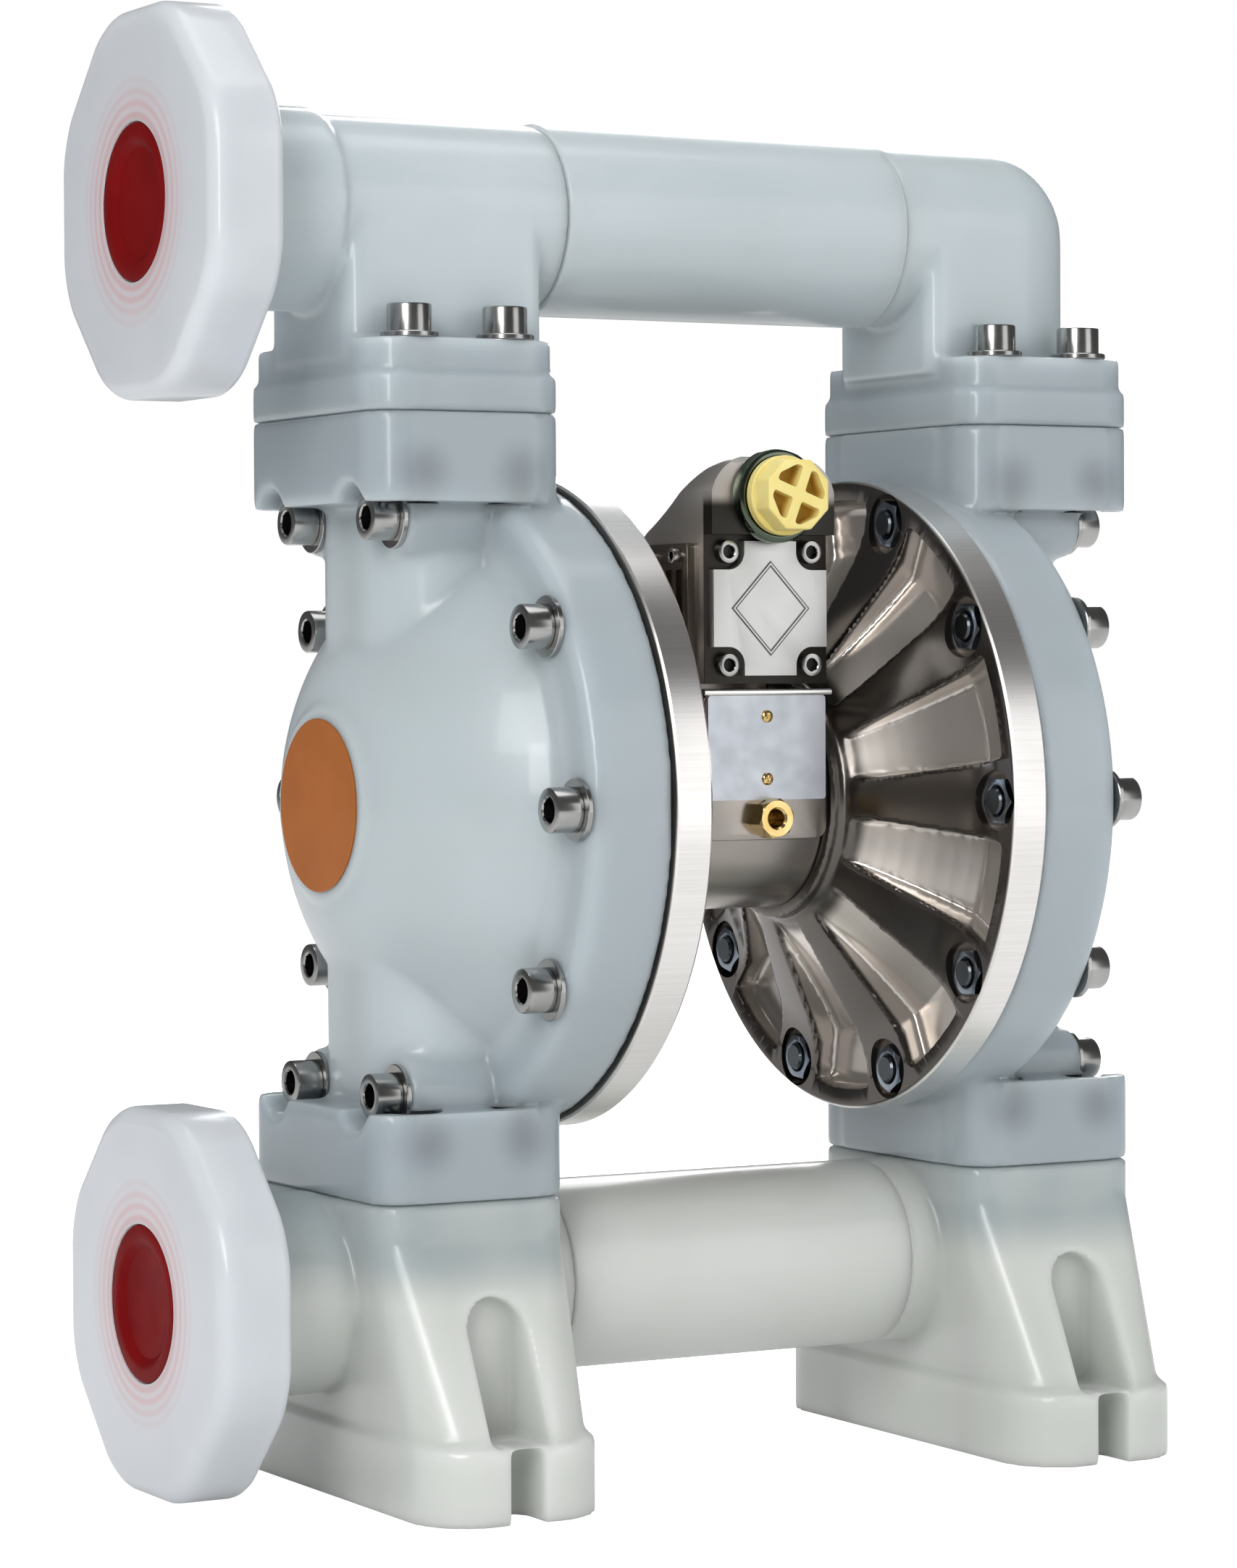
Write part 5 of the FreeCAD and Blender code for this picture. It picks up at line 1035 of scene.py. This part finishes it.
def buildAirChamber(name):
    c = chamberSizes
    face, radius = c["rimFace"], c["rimRadius"]
    back = face + c["rimThickness"]
    petalFoot = Vector((c["hubFace"] + c["collarWidth"], c["collarRadius"]))
    corner = Vector((face, c["petalEnd"]))
    rise = (corner - petalFoot).normalized()
    tangent = c["petalBlend"] * math.tan(math.acos(rise.y) / 2)
    blendStart, blendEnd = tuple(corner - rise * tangent), (face, c["petalEnd"] + tangent)
    blank = [(c["hubFace"], c["bush"]), (c["hubFace"], c["collarRadius"]), tuple(petalFoot), blendStart]
    blank += arcPoints(blendStart, blendEnd, -c["petalBlend"], 8)
    blank += [blendEnd, (face - c["proud"], blendEnd[1] + 1), (face - c["proud"], radius + c["grown"]),
              (back + c["grown"], radius + c["grown"]), (back + c["grown"], c["dishRimRadius"]),
              (back - c["dishRimDepth"], c["dishRimRadius"]), (c["dishFloor"], c["dishFloorRadius"]),
              (c["dishFloor"], c["bush"])]
    floorStart = (c["hubFace"] + c["collarWidth"] + c["pocketHubDepth"], c["pocketStart"])
    floorEnd = (face + c["pocketDepth"], c["pocketKnee"])
    wallFoot = (floorEnd[0], c["pocketEnd"] - c["pocketRounding"])
    wallTop = (floorEnd[0] - c["pocketRounding"], c["pocketEnd"])
    scoop = [(c["hubFace"] + 2, c["pocketStart"]), floorStart]
    scoop += arcPoints(floorStart, floorEnd, -c["scoopBend"], 8)
    scoop += [floorEnd, wallFoot] + arcPoints(wallFoot, wallTop, -c["pocketRounding"], 5)
    scoop += [wallTop, (face - 6, c["pocketEnd"])]
    spot = stepped(back + 2, (face - 2, c["nutSpot"]), (face + c["nutDepth"], boltRing["bore"]))
    scoops, spots = [], []
    for index, (y, z, high) in enumerate(ringPlaces()):
        scoops.append(wedge(scoop, c["pocketAngle"], math.tau / boltRing["count"] * index))
        spots.append(spun(spot, alongX, point(0, y, z), 40))
    piece = moulded(name, [spun(blank, steps=160, closed=True)], c, joined(*scoops), [joined(*spots)])
    edge = c["rimEdge"]
    rim = [(c["hubFace"] - 1, 0), (c["hubFace"] - 1, blendEnd[1]), (face, blendEnd[1] + 0.3),
           (face, radius - edge), (face + edge * 0.4, radius - edge * 0.4), (face + edge, radius),
           (back - edge, radius), (back - edge * 0.4, radius - edge * 0.4), (back, radius - edge), (back, 0)]
    return shaped(name, shellOf(piece), spun(rim, steps=192), operation="INTERSECT")


# Valve block and its plate

valveSizes = {
    "halfWidth": 26.0, "bottom": 43.0, "front": 50.0, "rear": 10.0, "rearTop": 88.0,
    "shoulder": 99.5, "shoulderRear": 8.0, "slopeTop": 122.0, "slopeRear": 43.7,
    "top": 126.0, "topRear": 53.0, "brow": 56.0, "browTop": 123.5, "browBottom": 97.5,
    "arc": 160.0, "arch": 17.0, "archRise": 0.2, "edge": 0.9,
    "faceHeight": 49.2, "faceWidth": 48.0, "faceThickness": 3.6, "faceCentre": 70.6, "faceEdge": 0.7,
    "screwX": 17.6, "screwZ": 20.7, "scallop": 6.6, "trimWidth": 40.0, "trimRise": 20.0, "diamond": 17.2,
    "inletHeight": 111.6, "inletRadius": 17.2, "inletBore": 10.5, "inletFront": 61.0,
    "capThickness": 3.2, "capHeight": 48.0, "capWidth": 34.0, "capEdge": 0.6, "spoolDepth": 26.0,
    "capSlotDrop": 15.8, "capSlotRise": 14.4, "capScrewDepth": 10.0, "capScrewHeight": 19.6,
}


def buildValveBody(name):
    v = valveSizes
    start, end = (-v["shoulderRear"], v["shoulder"]), (-v["slopeRear"], v["slopeTop"])
    side = [(v["rear"], v["bottom"]), (v["rear"], v["rearTop"]), start]
    side += arcPoints(start, end, v["arc"], 8)
    side += [end, (-v["topRear"], v["top"]), (-v["brow"], v["browTop"]), (-v["brow"], v["browBottom"]),
             (-v["front"], v["browBottom"]), (-v["front"], v["bottom"])]
    reach = v["halfWidth"] + 0.5
    arch = block((-reach, -v["brow"] - 5, v["bottom"] - 5), (reach, v["rear"] + 5, v["top"] + v["archRise"]),
                 alongY, v["arch"], alongZ, 10)
    blank = extruded(side, alongX, -v["halfWidth"], v["halfWidth"])
    return meshObject(name, softEdges(flattened(shaped(name, blank, arch, operation="INTERSECT")), v["edge"]))


def buildFacePlate(name):
    # A plate cut away round its four screws, with a low frame in the shape of a diamond
    v = valveSizes
    back, front, middle = -v["front"], -v["front"] - v["faceThickness"], v["faceCentre"]
    near, far = back + 1, back - 6
    halfWidth, halfHeight = v["faceWidth"] / 2, v["faceHeight"] / 2
    plate = block((-halfWidth, front, middle - halfHeight), (halfWidth, back, middle + halfHeight),
                  alongY, 1.5, segments=4)
    tools = []
    for across in (-1, 1):
        for up in (-1, 1):
            x, z = across * v["screwX"], middle + up * v["screwZ"]
            end = (across * v["trimWidth"], near, z + up * v["trimRise"])
            tools.append(rod(alongY, near, far, x, z, v["scallop"], 40))
            for start in ((x, far, z - up * v["scallop"]), (x - across * v["scallop"], far, z)):
                tools.append(block(start, end, alongY, 0.1, segments=1))
    shell = flattened(shaped(name, plate, *tools))
    rim = [edge for edge in rimEdges(shell, alongY, front)
           if edge.is_manifold and edge.calc_face_angle() > 0.6]
    bevelled(shell, rim, v["faceEdge"], 3, True)
    ridge = bmesh.new()
    reach = v["diamond"]
    corners = [(reach * 0.95, 0), (0, reach), (-reach * 0.95, 0), (0, -reach)]
    rings = []
    for scale, lift in ((1.0, 0.1), (0.97, -0.35), (0.93, -0.35), (0.90, 0.1)):
        rings.append([ridge.verts.new(point(x * scale, front + lift, middle + z * scale))
                      for x, z in corners])
    for first, second in zip(rings, rings[1:] + rings[:1]):
        for index in range(4):
            following = (index + 1) % 4
            ridge.faces.new((first[index], first[following], second[following], second[index]))
    bmesh.ops.recalc_face_normals(ridge, faces=ridge.faces)
    return meshObject(name, joined(shell, ridge))


def buildInletRing(name):
    v = valveSizes
    back, front, radius, bore = -v["brow"], -v["inletFront"], v["inletRadius"], v["inletBore"]
    profile = [(back, bore), (back, radius), (front + 1.4, radius), (front + 0.5, radius - 0.45),
               (front, radius - 1.5), (front, bore + 4.4), (front + 0.5, bore + 3.9), (front + 0.5, bore)]
    return meshObject(name, spun(profile, alongY, point(0, 0, v["inletHeight"]), 96, True))


inletPlugSizes = {
    "gap": 0.3, "collar": 14.6, "collarEdge": 0.4, "collarLength": 4.0, "head": 14.2, "headEnd": 13.7,
    "headLength": 13.0, "sides": 8, "edge": 0.7, "stem": 10.2, "stemLength": 12.0,
    "rib": 1.9, "pocket": 10.2, "pocketStart": 5.5, "pocketLength": 10.0, "pocketCorner": 0.9,
    "tilt": math.radians(21),
}


def buildInletPlug(name):
    # Eight sided plug: a round collar, a slightly turned cross of ribs and four sunk pockets
    p = inletPlugSizes
    height, start = valveSizes["inletHeight"], -valveSizes["inletFront"] - p["gap"]
    middle = point(0, 0, height)
    inner, edge, end = p["collar"] - p["collarEdge"], p["collarEdge"], start - p["collarLength"]
    collar = spun([(start, 0), (start, inner), (start - edge, p["collar"]), (end + 0.5, p["collar"]),
                   (end, inner), (end, 0)], alongY, middle, 96)
    head = rod(alongY, start, start - p["headLength"], 0, height, p["head"], p["sides"], p["headEnd"])
    softEdges(turnedAbout(head, middle, math.pi / p["sides"], "Y"), p["edge"], 20, 3)
    stem = rod(alongY, start - 1, start + p["stemLength"], 0, height, p["stem"], 64)
    rib, reach = p["rib"], p["pocket"]
    corners = [(rib, rib), (reach, rib), (reach, reach * 0.44), (reach * 0.44, reach), (rib, reach)]
    low = start - p["pocketStart"]
    pockets = []
    for across in (-1, 1):
        for up in (-1, 1):
            plan = [(across * x, height + up * z) for x, z in corners]
            pocket = extruded(plan, alongY, low, low - p["pocketLength"])
            pockets.append(roundAlong(pocket, alongY, p["pocketCorner"], None, 3))
    pockets = turnedAbout(joined(*pockets), middle, p["tilt"], "Y")
    return shaped(name, collar, pockets, added=(head, stem))


def buildSideCap(name, way):
    v = valveSizes
    face, half, middle = v["halfWidth"] + v["capThickness"], v["capWidth"] / 2, v["faceCentre"]
    plate = block((way * v["halfWidth"], -v["spoolDepth"] - half, middle - v["capHeight"] / 2),
                  (way * face, half - v["spoolDepth"], middle + v["capHeight"] / 2), alongX, 2.0, segments=4)
    bevelled(plate, rimEdges(plate, alongX, way * face), v["capEdge"], 3)
    slots = []
    for index in range(4):
        y = v["capWidth"] * (index * 0.22 - 0.33) - v["spoolDepth"]
        reach, floor = v["capWidth"] * 0.07, v["halfWidth"] + v["capThickness"] * 0.4
        slots.append(block((way * floor, y - reach, middle - v["capSlotDrop"]),
                           (way * (floor + 8), y + reach, middle + v["capSlotRise"]),
                           alongX, 1.0, segments=4))
    return shaped(name, plate, joined(*slots))


# Centre body, small fittings and plates on its pad

bodySizes = {
    "radius": 42.0, "halfLength": 30.0, "edge": 0.6, "bush": 14.05,
    "padFront": 50.0, "padRear": 15.0, "padHalfWidth": 26.0, "padTop": 41.0, "padBottom": 14.5,
    "padCorner": 5.0, "padEdge": 0.8, "ledge": 2.2, "ledgeRear": 25.0, "ledgeEdge": 0.8,
    "gasketRear": 9.5, "saddleFoot": 20.5, "saddleTop": 43.0, "saddleCorner": 2.0, "rear": 10.0,
    "silencer": 15.0, "silencerLength": 46.0, "silencerStem": 9.0, "silencerRings": 9,
    "drop": 6.4, "drain": 5.3, "vent": 9.3,
    "plateHalfWidth": 25.0, "plateHalfHeight": 19.15, "plateHeight": 19.5, "plateThickness": 0.8,
    "plateScrew": 11.5, "plateHole": 1.4, "label": 31.4,
}


def buildCentreBody(name):
    b = bodySizes
    half, edge, front, width, top = b["halfLength"], b["edge"], b["padFront"], b["padHalfWidth"], b["padTop"]
    barrel = [(-half, b["bush"]), (-half, b["radius"] - edge), (edge - half, b["radius"])]
    barrel += [(-along, reach) for along, reach in reversed(barrel)]
    pad = block((-width, -front, -b["padBottom"]), (width, -b["padRear"], top),
                alongY, b["padCorner"], segments=6)
    bevelled(pad, rimEdges(pad, alongY, -front), b["padEdge"], 3)
    ledge = block((-width - 1, -front - b["ledge"], top - b["ledge"]), (width + 1, -b["ledgeRear"], top),
                  alongX, b["ledgeEdge"], segments=3)
    saddle = block((-width, -b["gasketRear"], b["saddleFoot"]), (width, b["rear"], b["saddleTop"]),
                   alongZ, b["saddleCorner"], segments=3)
    boss = rod(alongY, 20, b["radius"] + 2, 0, 0, b["silencer"] + 1.5, 64)
    bore = spun(stepped(half + 1, (-half - 1, b["bush"])), steps=64)
    drain = rod(alongY, -front - 3, 9 - front, 0, -b["drop"], b["drain"], 40)
    vent = rod(alongY, b["radius"] - 22, b["radius"] + 4, 0, 0, b["vent"], 40)
    return shaped(name, spun(barrel, steps=128, closed=True), bore, drain, vent,
                  added=(pad, ledge, saddle, boss))


def buildDataPlate(name):
    b = bodySizes
    front, height, half = b["padFront"], b["plateHeight"], b["plateHalfWidth"]
    plate = block((-half, -front - b["plateThickness"], height - b["plateHalfHeight"]),
                  (half, -front, height + b["plateHalfHeight"]), alongY, 1.2, segments=4)
    holes = [rod(alongY, 1 - front, -front - 2, 0, height + up, b["plateHole"], 24)
             for up in (-b["plateScrew"], b["plateScrew"])]
    return shaped(name, plate, joined(*holes))


def buildLabel(name, way):
    top, radius = coverSizes["domeTop"], bodySizes["label"]
    profile = [(top, 0), (top, radius - 0.2), (top + 0.7, radius), (top + 1.0, radius - 0.35), (top + 1.0, 0)]
    return meshObject(name, spun([(way * along, reach) for along, reach in profile], steps=128))


def buildSilencer(name):
    b = bodySizes
    start, r, stem = b["radius"] + 2, b["silencer"], b["silencerStem"]
    end = start + b["silencerLength"]
    profile = [(start - 9, 0), (start - 9, stem), (start, stem), (start, r)]
    step = (end - start - 10) / b["silencerRings"]
    for index in range(b["silencerRings"]):
        low = start + 4 + index * step
        middle = low + step * 0.45
        profile += [(low, r), (low + 0.6, r - 0.9), (middle, r - 0.9), (middle + 0.6, r)]
    profile += [(end - 3, r), (end - 1.2, r - 0.8), (end - 0.3, r - 2.0), (end, r - 3.2), (end, 0)]
    return meshObject(name, spun(profile, alongY, point(0, 0, 0), 64))


# Fasteners: one template each, copied to every place

fastenerSizes = {
    "head": 8.0, "headHeight": 10.0, "socket": 4.6, "socketDepth": 6.0, "shank": 5.0, "tail": 1.5,
    "washer": 11.0, "flangeWasher": 10.4, "washerHole": 5.2, "washerThickness": 2.0, "washerEdge": 0.3,
    "nut": 9.2, "nutHeight": 7.7, "flangeNutHeight": 8.0, "nutHole": 5.05,
    "nutSeat": 70.2, "flangeNutSeat": 122.0, "flangeSeat": 166.0,
    "faceHead": 4.25, "faceHeight": 4.0, "faceSocketDepth": 2.4, "faceShank": 2.5, "faceLength": 13.0,
    "capHead": 2.8, "capShank": 1.5,
}


def hexagon(radius, low, high):
    shell = bmesh.new()
    bmesh.ops.create_cone(shell, cap_ends=True, segments=6, radius1=radius * mm, radius2=radius * mm,
                          depth=(high - low) * mm)
    bmesh.ops.translate(shell, vec=alongZ * ((high + low) / 2 * mm), verts=shell.verts)
    return shell


def socketScrew(name, head, height, socket, depth, shank, length):
    chamfer = head * 0.09
    floor, mouth = height - depth, socket * 0.94
    profile = [(-length, 0), (-length, shank * 0.88), (shank * 0.16 - length, shank), (0, shank),
               (0, head - chamfer * 0.4), (chamfer * 0.4, head), (height - chamfer, head),
               (height - chamfer * 0.3, head - chamfer * 0.3), (height, head - chamfer),
               (height, socket * 1.06), (height - socket * 0.12, mouth), (floor, mouth), (floor - 0.5, 0)]
    made = shaped(name, lathe(profile, 48), hexagon(socket, floor, height + 1))
    # the faces inside the socket take the second finish, painted shade
    for face in made.data.polygons:
        middle = face.center
        away = math.hypot(middle.x, middle.y)
        sunk = 0 < middle.z < (height - 0.1 * socket) * mm and away < socket * 0.97 * mm
        face.material_index = 1 if sunk else 0
    return made


def boltTemplate(name, length):
    s = fastenerSizes
    return socketScrew(name, s["head"], s["headHeight"], s["socket"], s["socketDepth"], s["shank"], length)


def hexPart(name, radius, height, limit, hollow, steps):
    # A hexagon turned down to one profile and hollowed by another
    made = shaped(name, hexagon(radius, 0, height), lathe(limit, 64), operation="INTERSECT")
    return shaped(name, shellOf(made), lathe(hollow, steps))


def nutTemplate(name, height):
    radius, hole = fastenerSizes["nut"], fastenerSizes["nutHole"]
    flat = radius * math.cos(math.pi / 6)
    rise = (radius - flat) * 0.62
    limit = [(0, 0), (0, flat + 0.15), (rise * 0.8, radius + 0.1), (height - rise, radius + 0.1),
             (height, flat + 0.1), (height, 0)]
    hollow = [(-1, 0), (-1, hole), (height - 1.0, hole), (height + 0.1, hole + 1.1), (height + 0.1, 0)]
    return hexPart(name, radius, height, limit, hollow, 40)


def washerTemplate(name, outer):
    inner, thickness, edge = (fastenerSizes[size] for size in ("washerHole", "washerThickness", "washerEdge"))
    profile = [(0, inner), (0, outer - edge), (edge, outer), (thickness - edge, outer),
               (thickness, outer - edge), (thickness, inner + edge), (thickness - edge, inner)]
    return meshObject(name, lathe(profile, 64, True))


def spread(name, template, places):
    # Copies of the template; each place is a point in millimetres and the way its +Z takes there
    whole = bmesh.new()
    for (x, y, z), way in places:
        before = len(whole.verts)
        whole.from_mesh(template.data)
        whole.verts.ensure_lookup_table()
        turn = Vector(way).to_track_quat("Z", "Y").to_matrix().to_4x4()
        twist = Matrix.Rotation((x * 3.1 + y * 1.7 + z * 2.3) % math.tau, 4, "Z")
        place = Matrix.Translation(point(x, y, z)) @ turn @ twist
        bmesh.ops.transform(whole, matrix=place, verts=whole.verts[before:])
    discard(template)
    return meshObject(name, whole)


def buildCoverFasteners():
    s = fastenerSizes
    bolts = {"short": [], "long": []}
    washers, nuts = [], []
    for sign in (-1, 1):
        for y, z, high in ringPlaces():
            seat = coverSizes["highSeat" if high else "seat"]
            place = (sign * (seat + s["washerThickness"]), y, z)
            bolts["long" if high else "short"].append((place, (sign, 0, 0)))
            washers.append(((sign * seat, y, z), (sign, 0, 0)))
            nuts.append(((sign * s["nutSeat"], y, z), (-sign, 0, 0)))
    grip = s["washerThickness"] - chamberSizes["rimFace"] + s["tail"]
    for kind, seat in (("short", coverSizes["seat"]), ("long", coverSizes["highSeat"])):
        screw = boltTemplate(kind + "CoverScrew", seat + grip)
        dress(spread(kind + "CoverBolts", screw, bolts[kind]), "cover_bolts_" + kind)
    dress(spread("coverWashers", washerTemplate("coverWasher", s["washer"]), washers), "cover_washers")
    dress(spread("coverNuts", nutTemplate("coverNut", s["nutHeight"]), nuts), "cover_nuts")


def buildManifoldFasteners():
    s = fastenerSizes
    bolts, washers, nuts = [], [], []
    top = s["flangeSeat"] + s["washerThickness"]
    for sign in (-1, 1):
        for level in (-1, 1):
            for x, y in flangeSpots():
                bolts.append(((sign * x, y, level * top), (0, 0, level)))
                washers.append(((sign * x, y, level * s["flangeSeat"]), (0, 0, level)))
                nuts.append(((sign * x, y, level * s["flangeNutSeat"]), (0, 0, -level)))
    length = top - s["flangeNutSeat"] + s["flangeNutHeight"] + s["tail"]
    dress(spread("manifoldBolts", boltTemplate("manifoldScrew", length), bolts), "manifold_bolts")
    ring = washerTemplate("manifoldWasher", s["flangeWasher"])
    dress(spread("manifoldWashers", ring, washers), "manifold_washers")
    nut = nutTemplate("manifoldNut", s["flangeNutHeight"])
    dress(spread("manifoldNuts", nut, nuts), "manifold_nuts")


def crossArm(turn):
    shell = bmesh.new()
    bmesh.ops.create_cube(shell, size=1.0)
    bmesh.ops.scale(shell, vec=(2.6 * mm, 0.45 * mm, 1.0 * mm), verts=shell.verts)
    bmesh.ops.translate(shell, vec=alongZ * (1.2 * mm), verts=shell.verts)
    bmesh.ops.rotate(shell, cent=(0, 0, 0), matrix=Matrix.Rotation(turn, 3, "Z"), verts=shell.verts)
    return shell


def buildSmallScrews():
    v, s, b = valveSizes, fastenerSizes, bodySizes
    head = s["faceHead"]
    screw = socketScrew("faceScrew", head, s["faceHeight"], head * 0.58, s["faceSocketDepth"],
                        s["faceShank"], s["faceLength"])
    places = [((x, -v["front"], v["faceCentre"] + z), (0, -1, 0))
              for x in (-v["screwX"], v["screwX"]) for z in (-v["screwZ"], v["screwZ"])]
    dress(spread("facePlateScrews", screw, places), "face_plate_screws")
    head = s["capHead"]
    screw = socketScrew("capScrew", head, head, head * 0.55, head * 0.6, s["capShank"], v["capThickness"] + 5)
    seat = v["halfWidth"] + v["capThickness"]
    places = [((way * seat, y - v["spoolDepth"], v["faceCentre"] + z), (way, 0, 0)) for way in (-1, 1)
              for y in (-v["capScrewDepth"], v["capScrewDepth"])
              for z in (-v["capScrewHeight"], v["capScrewHeight"])]
    dress(spread("sideCapScrews", screw, places), "side_cap_screws")
    # Domed drive screws with a cross in their heads
    shank, rim = 1.15, 2.25
    dome = lathe([(-0.4, 0), (-0.4, shank), (0, shank), (0, rim), (0.35, rim + 0.05), (0.75, 1.95),
                  (1.05, 1.35), (1.2, 0.7), (1.2, 0)], 32)
    screw = shaped("dataScrew", dome, joined(*[crossArm(turn) for turn in (0, math.pi / 2)]))
    places = [((0, -b["padFront"] - b["plateThickness"], b["plateHeight"] + up), (0, -1, 0))
              for up in (-b["plateScrew"], b["plateScrew"])]
    dress(spread("dataPlateScrews", screw, places), "data_plate_screws")


def buildDrainFitting(name):
    b = bodySizes
    radius, height, bore = 7.6, 8.0, 3.4
    limit = [(-9, 0), (-9, 5.0), (0, 5.0), (0, 7.2), (0.6, 7.7), (height - 1, 7.7), (height, 6.6),
             (height, 0)]
    hollow = [(-1, 0), (-1, bore), (7.2, bore), (8.1, 4.3), (8.1, 0)]
    head = hexPart("drainHead", radius, height, limit, hollow, 48)
    stem = lathe([(-height, bore), (-height, 4.9), (0.3, 4.9), (0.3, bore)], 48, True)
    whole = meshObject("drainFittingRaw", joined(shellOf(head), stem))
    return spread(name, whole, [((0, -b["padFront"], -b["drop"]), (0, -1, 0))])


# Every piece is dressed in its finish, rides on its body and stands for its CAD nodes

upper, lower = manifoldSizes["upperPipe"], -manifoldSizes["lowerPipe"]

cover = buildCover("fluidCoverRight")
dress(turnedCopy(cover, "fluidCoverLeft"), "fluid_cover_left")
dress(cover, "fluid_cover_right")
print("covers ready")

chamber = buildAirChamber("airChamberRight")
dress(turnedCopy(chamber, "airChamberLeft"), "air_chamber_left")
dress(chamber, "air_chamber_right")
print("air chambers ready")

tee = buildBranch("dischargeTeeMould", True)
dress(turnedCopy(tee, "dischargeTee"), "discharge_tee")
dress(buildBranch("dischargeElbow", False), "discharge_elbow")
footTee = buildFoot("suctionTeeFootMould", True)
dress(turnedCopy(footTee, "suctionTeeFoot"), "suction_tee_foot")
dress(buildFoot("suctionElbowFoot", False), "suction_elbow_foot")
discard(tee, footTee)
for kind, height in (("discharge", upper), ("suction", lower)):
    dress(buildPipe(kind + "Pipe", height), kind + "_pipe")
    dress(buildPortFlange(kind + "PortFlange", height), kind + "_port_flange")
    dress(buildPortPlug(kind + "PortPlug", height), kind + "_port_plug", kind + "_port_plug")
print("manifolds, feet and ports ready")

buildCoverFasteners()
buildManifoldFasteners()
buildSmallScrews()
print("fasteners ready")

dress(buildCentreBody("centreBodyCast"), "centre_body")
dress(buildValveBody("valveBlockCast"), "air_valve_body")
dress(buildFacePlate("valveFacePlate"), "valve_face_plate")
for side, way in (("Left", -1), ("Right", 1)):
    dress(buildSideCap("valveSideCap" + side, way), "valve_side_cap_" + side.lower())
    dress(buildLabel("coverLabel" + side, way), "cover_label_" + side.lower())
dress(buildInletRing("airInletRing"), "air_inlet_ring")
dress(buildInletPlug("airInletPlug"), "air_inlet_plug", "air_inlet_plug")
dress(buildDataPlate("dataPlateSheet"), "data_plate")
dress(buildDrainFitting("drainFitting"), "drain_fitting")
dress(buildSilencer("exhaustSilencer"), "exhaust_silencer")
print("valve, centre body and fittings ready")
